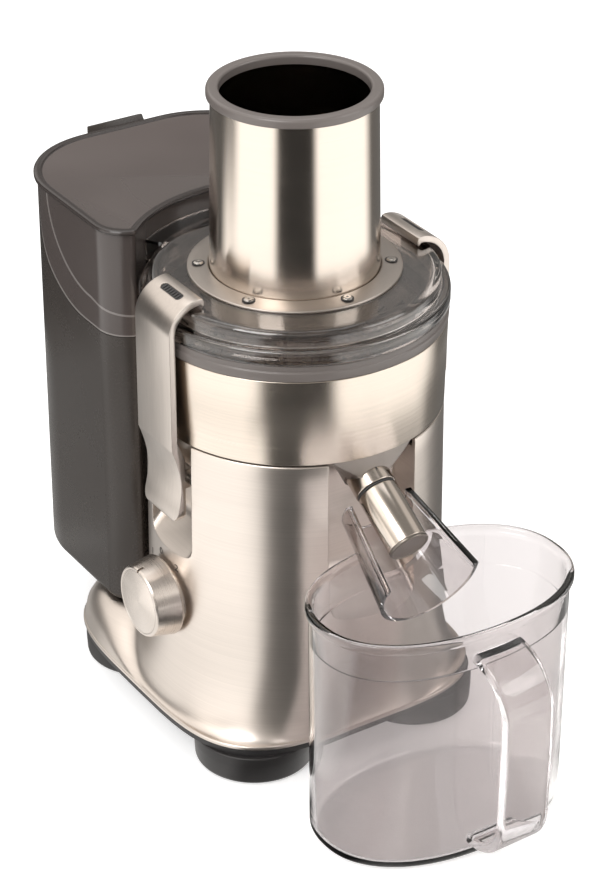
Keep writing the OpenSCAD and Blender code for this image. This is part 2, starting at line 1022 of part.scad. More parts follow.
module spout_cap() {
    color("dimgray")
        on_axis()
            along_spout(spout_len - 1.8) {
                cylinder(r = sleeve_r, h = 1.8);
                translate([0, 0, -1.6])
                    cylinder(r = sleeve_r - sleeve_t - snug, h = 1.7);
            }
}

// ---- lid and chute ----------------------------------------------------------

module pulp_mouth(r_in, r_out, grow = 0) {
    low = ring_top + 3.2 - grow;
    high = lid_z - 4 + grow;
    half = 34 + grow / 2;
    translate([0, 0, low])
        rotate([0, 0, 90 - half])
            rotate_extrude(angle = 2 * half, $fn = 180)
                translate([r_in, 0])
                    square([r_out - r_in, high - low]);
}

module lid() {
    color([0.5, 0.48, 0.47, 0.6])
        on_axis()
            difference() {
                union() {
                    rotate_extrude($fn = 180)
                        polygon([
                            [chute_r, chute_low_z], [chute_r + chute_t, chute_low_z],
                            [chute_r + chute_t, lid_z - lid_t], [lid_flat_r - 2.4, lid_z - lid_t],
                            [rim_inner - 2.8, lid_z - lid_t - 3], [rim_inner - 3, ring_top + 6],
                            [rim_inner - 3, ring_top - 6], [rim_inner - 0.4, ring_top - 6],
                            [rim_inner - 0.4, ring_top + 0.1], [lid_r, ring_top + 0.1],
                            [lid_r, lid_rim_top - 1.8], [lid_r - 1.8, lid_rim_top],
                            [rim_inner + 0.8, lid_rim_top], [rim_inner + 0.4, lid_z - 5],
                            [rim_inner - 0.2, lid_z - 2.6], [lid_flat_r + 1.4, lid_z - 0.7],
                            [lid_flat_r, lid_z], [chute_r + chute_t, lid_z],
                            [chute_r + chute_t, chute_z - collar_h], [chute_r, chute_z - collar_h]
                        ]);
                    // throat that leads the pulp into the hood
                    pulp_mouth(rim_inner - 10, bin_front_r - fit, 2.2);
                    // fin that stops large fruit from turning
                    rotate([0, 0, fin_turn])
                        translate([chute_r - fin_w, -fin_t / 2, chute_low_z + 4])
                            cube([fin_w + 1, fin_t, chute_z - collar_h - chute_low_z - 4]);
                }
                pulp_mouth(rim_inner - 12, bin_front_r + 4);
            }
}

module lid_seal() {
    color("black")
        on_axis()
            translate([0, 0, ring_top - 10.4])
                ring(rim_inner - 0.3, rim_inner - 3, 4.3);
}

module chute_sleeve() {
    low = lid_z + 0.1;
    high = chute_z - collar_h - 0.1;
    color("gainsboro")
        on_axis()
            translate([0, 0, low])
                difference() {
                    cylinder(r1 = tube_r, r2 = tube_top_r, h = high - low, $fn = 180);
                    translate([0, 0, -0.01])
                        cylinder(r1 = tube_r - tube_t, r2 = tube_top_r - tube_t, h = high - low + 0.02, $fn = 180);
                }
}

module chute_collar() {
    low = chute_z - collar_h + 0.05;
    color("dimgray")
        on_axis() {
            rotate_extrude($fn = 144)
                polygon([
                    [chute_r, low], [collar_r - 1, low], [collar_r, low + 1],
                    [collar_r, chute_z - 1.2], [collar_r - 1.2, chute_z],
                    [chute_r + 1, chute_z], [chute_r, chute_z - 1]
                ]);
            // upper end of the fin
            rotate([0, 0, fin_turn])
                translate([0, fin_t / 2, 0])
                    rotate([90, 0, 0])
                        linear_extrude(fin_t)
                            polygon([
                                [chute_r + 1, low], [chute_r - fin_w, low],
                                [chute_r - fin_w, chute_z - 5], [chute_r + 1, chute_z - 0.6]
                            ]);
        }
}

module bezel_ring() {
    color("silver")
        on_axis()
            difference() {
                rotate_extrude($fn = 144)
                    polygon([
                        [tube_r + 0.3, lid_z + 0.1], [bezel_r, lid_z + 0.1], [bezel_r, lid_z + 0.8],
                        [bezel_r - 1, lid_z + 1.8], [tube_r + 1, lid_z + 2.4],
                        [tube_r + 0.3, lid_z + 1.8]
                    ]);
                bezel_screw_places()
                    cylinder(r = 1.5, h = 20, center = true, $fn = 32);
            }
}

module bezel_screw_places() {
    around(6, 30)
        translate([screw_circle, 0, lid_z])
            children();
}

module bezel_screws() {
    color("silver")
        on_axis()
            bezel_screw_places() {
                translate([0, 0, 0.2])
                    cylinder(r = 1.4, h = 2.2, $fn = 32);
                translate([0, 0, 2.35])
                    cylinder(r1 = 3, r2 = 2.2, h = 1.1, $fn = 32);
            }
}

module pulp_hood() {
    flange = 3.2;
    color([0.48, 0.45, 0.44])
        on_axis()
            difference() {
                union() {
                    difference() {
                        intersection() {
                            translate([0, 0, seam_z - 1])
                                linear_extrude(hood_z - seam_z)
                                    bin_plan();
                            seam_side();
                        }
                        translate([0, 0, seam_z - 2])
                            linear_extrude(hood_z - seam_z - 1)
                                bin_plan(inset = bin_t);
                    }
                    // top plate with its rolled edge
                    translate([0, 0, hood_z - flange])
                        linear_extrude(flange)
                            difference() {
                                bin_plan(grow = 1.6);
                                bin_plan(inset = bin_t + 4);
                            }
                    translate([0, 0, hood_z - 2.6])
                        linear_extrude(1.8)
                            bin_plan(inset = bin_t);
                }
                pulp_mouth(bin_front_r - 6, bin_front_r + 8, 0.2);
            }
}

module pulp_bin() {
    gap = fit;
    top = hood_z - 3.2 - gap;
    color([0.34, 0.31, 0.29])
        on_axis() {
            difference() {
                translate([0, 0, deck_z + gap])
                    linear_extrude(top - deck_z - gap)
                        bin_plan();
                translate([0, 0, deck_z + gap + bin_t])
                    linear_extrude(top)
                        bin_plan(inset = bin_t);
                seam_side(gap);
            }
            bin_tab(top);
        }
}

// thumb tab at the back of the bin, and the rib below it
module bin_tab(top) {
    translate([tab_w / 2, bin_back - 0.2, 0])
        rotate([0, -90, 0])
            linear_extrude(tab_w)
                polygon([
                    [top - 26, 0], [top - 20, 3.4], [top - 6, 3.8], [top + 1, tab_reach - 2],
                    [top + 4, tab_reach], [top + 5, tab_reach - 3], [top + 1.2, 5],
                    [top + 1.2, 2.2], [top, 2.2], [top, 0]
                ]);
}

// ---- clamps -----------------------------------------------------------------

// side view of a clamp, the arm's outer face towards +X
function clamp_line() =
    let (
        inner = clamp_face - clamp_t,
        bend_x = clamp_face - clamp_bend,
        bend_z = hook_z - clamp_bend,
        bore = clamp_bend - clamp_t,
        low = lid_z + seat,
        dish_z = column_z - 1.6
    )
    concat(
        [[inner, column_z + 3]],
        arc(bend_x, bend_z, bore, bore, 0, 90),
        [[hook_nose, low], [hook_nose, low + 4], [hook_nose + 1.5, hook_z]],
        arc(bend_x, bend_z, clamp_bend, clamp_bend, 90, 0),
        [for (k = [0:12]) [
            clamp_face - k / 6 - paddle_dish * sin(15 * k),
            mix(dish_z, paddle_z + 2, k / 12)
        ]],
        [[clamp_face - 4, paddle_z], [clamp_face - paddle_t, paddle_z],
            [clamp_face - paddle_t, column_z - 9]]
    );

// the same clamp seen from outside, with the paddle's lower corners rounded
module clamp_outline() {
    r = paddle_corner;
    translate([-clamp_w / 2, paddle_z + r])
        square([clamp_w, hook_z + 1 - paddle_z - r]);
    translate([r - clamp_w / 2, paddle_z])
        square([clamp_w - 2 * r, r + 1]);
    for (side = [-1, 1])
        translate([side * (clamp_w / 2 - r), paddle_z + r])
            circle(r = r);
}

// place of the ribbed pad, on the crown of the bend
module pad_place() {
    translate([clamp_face - clamp_bend, 0, hook_z - clamp_bend])
        rotate([0, 20, 0])
            translate([-pad_w / 2, -pad_len / 2, clamp_bend - pad_depth])
                children();
}

module clamp() {
    knuckle = 6;
    inner = clamp_face - paddle_t;
    color("silver")
        on_axis()
            difference() {
                union() {
                    intersection() {
                        translate([0, clamp_w / 2, 0])
                            rotate([90, 0, 0])
                                linear_extrude(clamp_w)
                                    polygon(clamp_line());
                        rotate([90, 0, 90])
                            linear_extrude(clamp_face + 1)
                                clamp_outline();
                    }
                    // knuckle round the pivot pin
                    translate([clamp_pivot_x, 2 * knuckle, clamp_pivot_z])
                        rotate([90, 0, 0])
                            cylinder(r = knuckle, h = 4 * knuckle);
                    translate([clamp_pivot_x, -2 * knuckle, clamp_pivot_z - knuckle])
                        cube([inner + 1 - clamp_pivot_x, 4 * knuckle, 2 * knuckle]);
                }
                translate([clamp_pivot_x, clamp_w, clamp_pivot_z])
                    rotate([90, 0, 0])
                        cylinder(r = clamp_pin_r + pin_play, h = 2 * clamp_w);
                pad_place()
                    cube([pad_w, pad_len, pad_depth + 2]);
            }
}

module clamp_pad() {
    color("dimgray")
        on_axis()
            pad_place()
                difference() {
                    translate([snug, snug, snug / 2])
                        cube([pad_w - 2 * snug, pad_len - 2 * snug, pad_depth - 0.4]);
                    for (i = [1:4])
                        translate([0.8, i * pad_len / 5 - 0.5, pad_depth - 1.1])
                            cube([pad_w - 1.6, 1, 2]);
                }
}

module clamp_pin() {
    color("silver")
        on_axis()
            translate([clamp_pivot_x, pin_half, clamp_pivot_z])
                rotate([90, 0, 0])
                    cylinder(r = clamp_pin_r, h = 2 * pin_half);
}

// the left clamp is the mirror image of the right one about the spin axis
module to_left() {
    translate([2 * axis_x, 0, 0])
        mirror([1, 0, 0])
            children();
}

module left_clamp() to_left() clamp();
module left_clamp_pad() to_left() clamp_pad();
module left_clamp_pin() to_left() clamp_pin();
module right_clamp() clamp();
module right_clamp_pad() clamp_pad();
module right_clamp_pin() clamp_pin();

// ---- speed knob -------------------------------------------------------------

module speed_knob() {
    seat_x = knob_face - knob_len;
    switch_depth = 9;
    face_r = knob_r - knob_taper;
    color("silver")
        on_axis()
            translate([-knob_face, knob_y, knob_z])
                rotate([0, 90, 0])
                    difference() {
                        union() {
                            rotate_extrude()
                                polygon([
                                    [0, 1.2], [face_r - 1.8, 1.2], [face_r - 1.8, 0],
                                    [face_r - 1, 0], [face_r, 1.2], [knob_r, knob_len - 1],
                                    [knob_r - 0.6, knob_len], [0, knob_len]
                                ]);
                            translate([0, 0, knob_len - 1])
                                cylinder(r = spindle_r, h = seat_x - column_r + 13 + switch_depth);
                        }
                        around(1, 180)
                            translate([face_r - 0.9, -0.7, -1])
                                cube([4, 1.4, 6]);
                    }
}

module knob_cap() {
    color("gainsboro")
        on_axis()
            translate([-knob_face, knob_y, knob_z])
                rotate([0, 90, 0])
                    translate([0, 0, 0.2])
                        cylinder(r = knob_r - knob_taper - 1.8 - snug, h = 0.95);
}

// ---- jug --------------------------------------------------------------------

function jug_ring(inset, t) =
    squared(mix(jug_foot_w, jug_w, t) / 2 - inset, mix(jug_foot_d, jug_d, t) / 2 - inset,
        jug_square, 0, 60);

module at_jug() {
    translate([jug_x, -jug_y, 0])
        children();
}

// solid form of the jug, with the thick bead round its rim
module jug_outer(grow = 0) {
    loft(
        [jug_ring(jug_edge - grow, 0), jug_ring(jug_edge * 0.3 - grow, 0),
            jug_ring(-grow, 0.06), jug_ring(-grow, 1)],
        [-grow, jug_edge * 0.3 - grow, jug_edge - grow, jug_h]
    );
    translate([0, 0, jug_h - 5 - grow])
        linear_extrude(5 + grow)
            polygon(jug_ring(-2.2 - grow, 1));
}

// cone of the froth guard, from the narrow end under the spout down into the jug
module guard_cone(inset = 0) {
    slope = (guard_wide - guard_r) / guard_len;
    translate([guard_x, -(jug_y - jug_d / 2) + 16, jug_h + 16])
        rotate([90 + 24, 0, 0])
            translate([0, 0, -inset])
                cylinder(r1 = guard_r - inset * (1 + slope), r2 = guard_wide + inset * (slope - 1),
                    h = guard_len + 2 * inset);
}

module juice_jug() {
    color([0.8, 0.78, 0.8, 0.4])
        on_axis()
            difference() {
                at_jug()
                    difference() {
                        jug_outer();
                        loft(
                            [jug_ring(jug_edge + jug_t, 0), jug_ring(jug_t, 0.06),
                                jug_ring(jug_t, 0.8), jug_ring(jug_t - 0.6, 0.84),
                                jug_ring(jug_t - 0.6, 1)],
                            [jug_t, jug_edge + jug_t, jug_h * 0.8, jug_h * 0.84, jug_h + 1]
                        );
                    }
                // pouring notch in the rim that holds the froth guard
                guard_cone(-snug);
            }
}

module froth_guard() {
    guard_t = 2.6;
    lip = 3.8;
    color([0.85, 0.83, 0.85, 0.4])
        on_axis()
            difference() {
                guard_cone();
                // hollow, with thicker lips along the two upper edges
                guard_cone(lip);
                difference() {
                    guard_cone(guard_t);
                    guard_above(2.4);
                }
                guard_above(6);
            }
}

// space above the froth guard, from a height over its sloping axis
module guard_above(height) {
    side = 2 * guard_wide;
    translate([guard_x, -(jug_y - jug_d / 2) + 16, jug_h + 16])
        rotate([90 + 24, 0, 0])
            translate([-side, height, -10])
                cube([2 * side, side, guard_len + 20]);
}

// side view of the handle, from the jug's middle outwards, moved in by cut
function handle_line(cut) =
    concat(
        [[30, jug_h - 13 - cut]],
        arc(handle_reach - 33, jug_h - 46, 33 - cut, 33 - cut, 90, 0),
        [[handle_reach - cut, jug_h / 2 - 1]],
        arc(handle_reach - 28, 40, 27 - cut, 29 - cut, 0, -90),
        [[30, 11 + cut]]
    );

module jug_handle() {
    color([0.8, 0.78, 0.82, 0.5])
        on_axis()
            at_jug()
                difference() {
                    rotate([0, 0, 3 - 90])
                        translate([0, handle_w / 2, 0])
                            rotate([90, 0, 0])
                                linear_extrude(handle_w)
                                    difference() {
                                        polygon(handle_line(0));
                                        polygon(handle_line(handle_t));
                                    }
                    jug_outer(snug);
                }
}

body_shell();
base_cover();
foot_front_left();
foot_front_right();
foot_rear_left();
foot_rear_right();
cover_screws();
cord_gland();
top_deck();
shaft_seal();
motor_bracket();
lower_bracket();
stator();
stator_coils();
upper_bearing();
lower_bearing();
brush_gear();
control_board();
speed_switch();
lock_switches();
motor_shaft();
armature();
commutator();
cooling_fan();
drive_coupling();
basket_hub();
grating_disc();
sieve();
basket_rim();
filter_bowl();
steel_band();
spout_pipe();
spout_ring();
spout_sleeve();
spout_cap();
lid();
lid_seal();
chute_sleeve();
chute_collar();
bezel_ring();
bezel_screws();
pulp_hood();
pulp_bin();
left_clamp();
left_clamp_pad();
left_clamp_pin();
right_clamp();
right_clamp_pad();
right_clamp_pin();
speed_knob();
knob_cap();
juice_jug();
jug_handle();
froth_guard();
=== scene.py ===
import math

import bmesh
import bpy
from mathutils import Matrix, Vector


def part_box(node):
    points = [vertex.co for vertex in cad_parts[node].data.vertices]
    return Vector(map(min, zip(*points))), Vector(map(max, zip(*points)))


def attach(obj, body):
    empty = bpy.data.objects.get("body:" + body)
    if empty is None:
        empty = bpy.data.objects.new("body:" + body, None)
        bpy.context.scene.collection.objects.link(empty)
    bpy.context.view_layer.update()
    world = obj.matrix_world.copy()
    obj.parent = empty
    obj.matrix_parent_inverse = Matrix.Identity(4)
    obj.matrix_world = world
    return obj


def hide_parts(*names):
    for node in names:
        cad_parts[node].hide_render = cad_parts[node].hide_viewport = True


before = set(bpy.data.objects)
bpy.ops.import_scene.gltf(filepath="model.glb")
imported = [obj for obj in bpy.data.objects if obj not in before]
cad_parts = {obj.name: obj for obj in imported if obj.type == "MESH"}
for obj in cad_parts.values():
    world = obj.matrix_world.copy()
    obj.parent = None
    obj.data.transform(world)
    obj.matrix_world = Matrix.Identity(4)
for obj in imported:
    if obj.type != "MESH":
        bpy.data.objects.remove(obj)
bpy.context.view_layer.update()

bl_info = {
    "name": "Centrifugal Juicer",
    "version": (1, 0, 0),
    "blender": (4, 5, 0),
    "location": "View3D > Sidebar > Juicer",
    "description": "Builds a centrifugal juicer round its packed frame, piece by piece",
    "category": "Add Mesh",
}

MM = 0.001
TAU = 2 * math.pi

# limits of the mesh helpers
DOUBLED = 0.000005      # points this near, in metres, are one
VANISHING = 0.000001    # edges this short, in metres, go
STRAIGHT = 3.1          # a corner that opens wider, in radians, isn't rounded
SHARE_OF_SIDE = 0.48    # most of a side that a rounded corner takes
ON_AXIS = 0.02          # radius in millimetres that stands for the axis
HALVINGS = 36           # steps of the search for the plinth's edge

# steps round the casting, along its flare and up its column
SHELL_SEGMENTS = 288
FLARE_STEPS = 40
COLUMN_STEPS = 12

# the level way that the camera looks, from the juicer's front left corner to its rear right
LOOK_X, LOOK_Y = 0.533, 0.846


def spin_axis():
    """Where the spin axis meets the table."""
    low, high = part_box("steel_band")
    return Vector(((low.x + high.x) / 2, (low.y + high.y) / 2, 0))


SPIN = spin_axis()


def span(node):
    """Lowest and highest corner of a CAD node, in millimetres about the spin axis."""
    low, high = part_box(node)
    return (low - SPIN) / MM, (high - SPIN) / MM


# ---- sizes, in millimetres about the spin axis --------------------------------

# plinth: width, reach to the front and rear, and how square its plan is
PLINTH_W = 196.9
PLINTH_FRONT = 82.95
PLINTH_REAR = 133.95
PLINTH_SQUARE = 3.8
SKIRT_Z = 22.4
SKIRT_TOP = 25.0
FLARE_TOP = 82.0
# shelf for the bin: its height, the width of its rounded edge, and where it starts and is full
SHELF_Z = 46.0
SHELF_EDGE = 22.0
SHELF_FROM, SHELF_FULL = 10.0, 88.0

# column, with the deck's seat at its top and the cavity for the motor
COLUMN_R = 87.6
COLUMN_TOP_R = 86.4
COLUMN_LINER_R = 84.5
COLUMN_Z = 204.6
CAVITY_R = 81.4
DECK_R = 83.4
DECK_T = 6.0
WALL = 3.0

# recesses: depth of the back and height of the floor there, then where and how low the floor ends
SPOUT_RECESS = (58.0, 124.0, 125.0, 69.9)
SPOUT_RECESS_WALL = (55.0, 121.0, 97.6, 89.0)
CLAMP_SCOOP = (70.0, 147.0, 120.0, 89.6)
CLAMP_SCOOP_WALL = (67.0, 144.0, 99.6, 110.0)
RECESS_HALF = 29.0
SCOOP_HALF = 22.5
ABOVE_COLUMN = 225.0

# feet: shoulder under the plinth and taper towards the table
FOOT_SHOULDER = 12.0
FOOT_TAPER = 0.6

# holes of the casting: cord gland, knob spindle and the pins that the clamps turn on
GLAND_AT = (0.0, 110.0, 33.0)
GLAND_R = 7.1
SPINDLE_HOLE_R = 3.3
SPINDLE_DEPTH = 47.0
PIN_HOLE_R = 2.6
PIN_HALF = 24.6
PIVOT = (79.0, 178.0)  # out from the axis, and up

# filter bowl, band and ring
BAND_Z = 205.8
BAND_TOP = 259.1
BAND_R = 86.5
BAND_TOP_R = 87.7
BAND_INNER_R = 85.6
RING_R = 88.2
RING_TOP = 269.0
BOWL_HUB_R = 18.0
BOWL_SEAT_R = 85.5
BOWL_INNER_R = 82.9
GUTTER_Z = 213.0

# lid, feed chute and bezel
LID_R = 88.6
LID_RIM_TOP = 278.3
LID_Z = 287.6
# throat to the hood: inner and outer radius, lowest and highest point, of the throat itself and
# of the way through it, and half of what each spans, in degrees
THROAT = (73.0, 93.7, 270.0, 285.8)
THROAT_MOUTH = (71.0, 98.0, 272.2, 283.6)
THROAT_HALF = 35.0
MOUTH_HALF = THROAT_HALF - 1
CHUTE_R = 42.0
CHUTE_LOW = 231.0
CHUTE_Z = 397.68
COLLAR_R = 49.2
COLLAR_H = 5.6
TUBE_R = 48.7
TUBE_TOP_R = 46.9
BEZEL_R = 61.3
SCREW_CIRCLE = 54.6
SCREW_Z = LID_Z + 2.1
SCREW_COUNT = 6
FIN_TURN = math.radians(-133)
FIN_REACH = 10.0
FIN_HALF = 1.5

# clamps: the hook over the lid, the arm and the dished paddle
HOOK_Z = 293.8
HOOK_NOSE = 71.0
HOOK_LIP = ((0.8, 288.1), (0.0, 289.0), (0.0, 291.6), (0.8, 293.3))
CLAMP_FACE = 93.6
CLAMP_T = 3.8
CLAMP_BEND = 20.0
CLAMP_W = 38.0
CLAMP_CORNER = 8.0
PADDLE_Z = 154.0
PADDLE_T = 8.4
PADDLE_DISH = 4.6
KNUCKLE_R = 6.0
KNUCKLE_HALF = 12.0
PAD_LEAN = math.radians(20)
PAD_RIBS = 7
PAD_PITCH = 2.5

# speed knob and the dial's numbers
KNOB_AT = (-105.5, 4.0, 95.0)
KNOB_R = 24.4
KNOB_FACE_R = 21.5
KNOB_LEN = 17.0
KNOB_BOSS_R = 20.4
KNOB_BOSS_X = -88.2
KNOB_BOSS_T = 8.0
SPINDLE_R = 3.0
DIAL_R = 26.6
DIGIT_SIZE = 6.0
DIGIT_WIDEN = 1.35
DIGITS = (("0", 10.7), ("2", -28.3), ("1", 49.7))

# pulp bin and hood
BIN_HALF = 81.5
BIN_BACK = 198.5
BIN_HOLLOW = 94.0
BIN_CORNER = 56.0
BIN_FRONT_CORNER = 20.5
BIN_T = 2.4
HOOD_Z = 300.0
HOOD_MOUTH = (86.0, 104.0, 271.9, 283.9)
HOOD_ROLL = 3.3
HOOD_PLATE = 1.5
# the hood's rolled edge: how far each height under its top stands out; then how far it lies in
HOOD_ROLL_OUT = ((1.2, -3.2), (1.6, -2.6), (1.6, -1.2), (1.3, -0.5), (0.6, -0.1), (0.1, 0))
HOOD_ROLL_IN = ((1.6, 0), (2.3, -0.4), (2.6, -1.2), (3.4, -HOOD_PLATE))
SEAM_Z = 231.0
SEAM_BACK = 163.0
SEAM_R = 60.0
# the two beads along the hood's seam: outer and inner edge, out from the seam
SEAM_BEADS = ((0.2, -0.7), (-8.6, -9.4))

# jug with its froth guard and handle
JUG_X, JUG_Y = 3.0, -146.5
JUG_H = 152.0
JUG_HALF, JUG_DEEP = 77.0, 52.0
JUG_SPREAD = 1.5
JUG_SQUARE = 2.2
JUG_T = 2.8
JUG_FLOOR = 3.0
# rolled rim: how far each height stands out; then the wall inside: how far each height lies in
JUG_BEAD = (
    (0.9, 145.9), (1.8, 146.7), (2.2, 147.9), (2.2, 149.9), (1.8, 151.1),
    (1.0, 151.8), (0.2, JUG_H), (-0.8, JUG_H), (-1.6, 151.6), (-2.1, 150.8),
)
JUG_LINING = (
    (2.2, 148), (2.2, 128.5), (2.4, 127.4), (JUG_T, 127), (JUG_T, 80), (JUG_T, 40),
)
GUARD_AT = (5.0, -78.5, JUG_H + 16)
GUARD_TILT = math.radians(114)
GUARD_R, GUARD_WIDE, GUARD_LEN = 22.6, 32.0, 60.0
# handle: reach from the jug's middle, half width and thickness; its ends in the jug; and its
# two bends, each with its centre and its two radii
HANDLE_REACH, HANDLE_HALF, HANDLE_T = 83.0, 16.5, 7.0
HANDLE_ROOT, HANDLE_TOP, HANDLE_FOOT, HANDLE_GRIP_Z = 30.0, JUG_H - 13, 11.0, 75.0
HANDLE_TOP_BEND = (50.0, 106.0, 33.0, 33.0)
HANDLE_LOW_BEND = (55.0, 40.0, 27.0, 29.0)
HANDLE_TURN = math.radians(3 - 90)

# drip-stop spout; its lengths run along the pipe
SPOUT_ROOT = (0.0, -71.0, 191.0)
SPOUT_DROP = math.radians(30)
SPOUT_BORE = 8.5
PIPE_R, PIPE_NECK_R = 12.3, 10.5
PIPE_SHOULDER, PIPE_END = 17.0, 52.0
SLEEVE_FROM, SLEEVE_TO, CAP_TO = 18.8, 55.2, 57.0
SPOUT_SOCKET_R = 12.4
SLEEVE_R = 12.0
SLEEVE_BORE = 10.8
OUTLET_R = 6.5
OUTLET_AT = 39.0

# grating disc: bore, edge, thickness, and the circles of its holes and teeth
GRATING_BORE, GRATING_R, GRATING_T = 9.0, 47.0, 1.4
CENTRE_HOLE_R, CENTRE_HOLE_CIRCLE = 2.2, 11.8
TEETH_FROM, TEETH_TO = 19.5, 44.5
TEETH_INNERMOST, TEETH_MORE = 14, 7


class JuicerSizes(bpy.types.PropertyGroup):
    """Small sizes of the finish, in millimetres."""

    edge_round: bpy.props.FloatProperty(
        name="Casting edge", description="Radius of the casting's outer edges",
        default=0.9, min=0.2, max=3.0,
    )
    recess_round: bpy.props.FloatProperty(
        name="Recess corner", description="Radius inside the recesses of the casting",
        default=4.0, min=0.5, max=8.0,
    )
    clamp_round: bpy.props.FloatProperty(
        name="Clamp edge", description="Radius along the edges of a clamp arm",
        default=1.1, min=0.3, max=1.8,
    )
    bin_round: bpy.props.FloatProperty(
        name="Bin edge", description="Radius of the bin's lower edge",
        default=6.0, min=1.0, max=10.0,
    )
    jug_round: bpy.props.FloatProperty(
        name="Jug foot", description="Radius round the jug's foot",
        default=6.0, min=3.0, max=12.0,
    )
    screw_head: bpy.props.FloatProperty(
        name="Screw head", description="Radius of a bezel screw's head",
        default=3.0, min=1.5, max=4.0,
    )
    tooth_high: bpy.props.FloatProperty(
        name="Tooth", description="Height of a tooth of the grating disc",
        default=1.6, min=0.5, max=2.2,
    )
    tooth_rows: bpy.props.IntProperty(
        name="Tooth rows", description="Rings of teeth on the grating disc",
        default=5, min=2, max=8,
    )


def colour_choice(name, description, default):
    """One colour of the panel."""
    return bpy.props.FloatVectorProperty(
        name=name, description=description, default=default, subtype="COLOR", min=0, max=1
    )


class JuicerColours(bpy.types.PropertyGroup):
    """Base colours of the finishes."""

    casting: colour_choice("Casting", "Satin aluminium", (0.72, 0.655, 0.60))
    band: colour_choice("Band", "Brushed steel", (0.72, 0.64, 0.56))
    sleeve: colour_choice("Sleeve", "Polished steel", (0.74, 0.66, 0.585))
    bin: colour_choice("Bin", "Charcoal plastic", (0.043, 0.036, 0.0315))
    hood: colour_choice("Hood", "Lighter charcoal plastic", (0.108, 0.088, 0.081))
    ring: colour_choice("Rings", "Grey plastic", (0.15, 0.129, 0.118))
    lid: colour_choice("Lid", "Smoked clear plastic", (0.72, 0.655, 0.61))
    jug: colour_choice("Jug", "Clear plastic", (0.76, 0.725, 0.722))
    foot: colour_choice("Feet", "Dark rubber", (0.020, 0.018, 0.018))


# ---- mesh helpers --------------------------------------------------------------


def link(name, mesh):
    """A new object in the scene."""
    obj = bpy.data.objects.new(name, mesh)
    bpy.context.scene.collection.objects.link(obj)
    return obj


def tidy(obj):
    """Merges doubled points and turns the faces outwards."""
    solid = bmesh.new()
    solid.from_mesh(obj.data)
    bmesh.ops.remove_doubles(solid, verts=solid.verts, dist=DOUBLED)
    bmesh.ops.dissolve_degenerate(solid, edges=solid.edges, dist=VANISHING)
    bmesh.ops.recalc_face_normals(solid, faces=solid.faces)
    solid.to_mesh(obj.data)
    solid.free()
    return obj


def mesh_object(name, points, faces, at=None):
    """A closed mesh from points in millimetres, placed by at about the spin axis."""
    at = at or Matrix.Identity(4)
    mesh = bpy.data.meshes.new(name)
    mesh.from_pydata([(at @ Vector(p)) * MM + SPIN for p in points], [], faces)
    mesh.update()
    return tidy(link(name, mesh))


def arc(x, y, rx, ry, start, end, steps=8):
    """Points of an elliptic arc; angles in degrees."""
    turns = [math.radians(start + (end - start) * k / steps) for k in range(steps + 1)]
    return [(x + rx * math.cos(a), y + ry * math.sin(a)) for a in turns]


def rounded(corners, steps=5):
    """A polygon whose corners (x, y, radius) are turned into arcs."""
    line = []
    count = len(corners)
    for i, (x, y, radius) in enumerate(corners):
        here = Vector((x, y))
        back = Vector(corners[i - 1][:2]) - here
        ahead = Vector(corners[(i + 1) % count][:2]) - here
        opening = back.angle(ahead) if back.length and ahead.length else math.pi
        if radius <= 0 or opening > STRAIGHT:
            line.append((x, y))
            continue
        longest = SHARE_OF_SIDE * back.length, SHARE_OF_SIDE * ahead.length
        reach = min(radius / math.tan(opening / 2), *longest)
        r = reach * math.tan(opening / 2)
        inwards = (back.normalized() + ahead.normalized()).normalized()
        middle = here + inwards * (r / math.sin(opening / 2))
        first = here + back.normalized() * reach - middle
        last = here + ahead.normalized() * reach - middle
        start = math.atan2(first.y, first.x)
        sweep = (math.atan2(last.y, last.x) - start + math.pi) % TAU - math.pi
        for k in range(steps + 1):
            turn = start + sweep * k / steps
            line.append((middle.x + r * math.cos(turn), middle.y + r * math.sin(turn)))
    return line


def loft(name, rings, at=None):
    """Closed skin through rings of equally many points, with flat ends."""
    count = len(rings[0])
    points = [p for ring in rings for p in ring]
    faces = [list(range(count))[::-1]]
    for low in range(0, count * (len(rings) - 1), count):
        for i in range(count):
            j = (i + 1) % count
            faces.append((low + i, low + j, low + count + j, low + count + i))
    last = (len(rings) - 1) * count
    faces.append(list(range(last, last + count)))
    return mesh_object(name, points, faces, at)


def prism(name, outline, low, high, at=None):
    """An outline in the local XY plane, raised from low to high."""
    return loft(name, [[(x, y, low) for x, y in outline], [(x, y, high) for x, y in outline]], at)


def box(name, near, far, low, high, at=None):
    """A block between two corners (x, y) of its plan."""
    (x0, y0), (x1, y1) = near, far
    return prism(name, [(x0, y0), (x1, y0), (x1, y1), (x0, y1)], low, high, at)


def lathe(name, profile, segments=144, at=None):
    """A closed profile of (radius, height) turned about the local Z axis."""
    count = len(profile)
    points = []
    for k in range(segments):
        c, s = math.cos(TAU * k / segments), math.sin(TAU * k / segments)
        points += [(r * c, r * s, z) for r, z in profile]
    faces = []
    for k in range(segments):
        for i in range(count):
            a, b = k * count, (k + 1) % segments * count
            j = (i + 1) % count
            faces.append((a + i, b + i, b + j, a + j))
    return mesh_object(name, points, faces, at)


def turned_solid(name, profile, at=None, segments=128):
    """A solid of revolution whose profile starts and ends on the axis."""
    return lathe(name, [(max(r, ON_AXIS), z) for r, z in profile], segments, at)


def disc(name, radius, low, high, at=None, segments=96):
    """A plain cylinder along the local Z axis."""
    outline = arc(0, 0, radius, radius, 0, 360 - 360 / segments, segments - 1)
    return prism(name, outline, low, high, at)


def bake(obj):
    """Turns the evaluated object into its own plain mesh."""
    bpy.context.view_layer.update()
    graph = bpy.context.evaluated_depsgraph_get()
    mesh = bpy.data.meshes.new_from_object(obj.evaluated_get(graph))
    obj.modifiers.clear()
    obj.data = mesh
    return obj


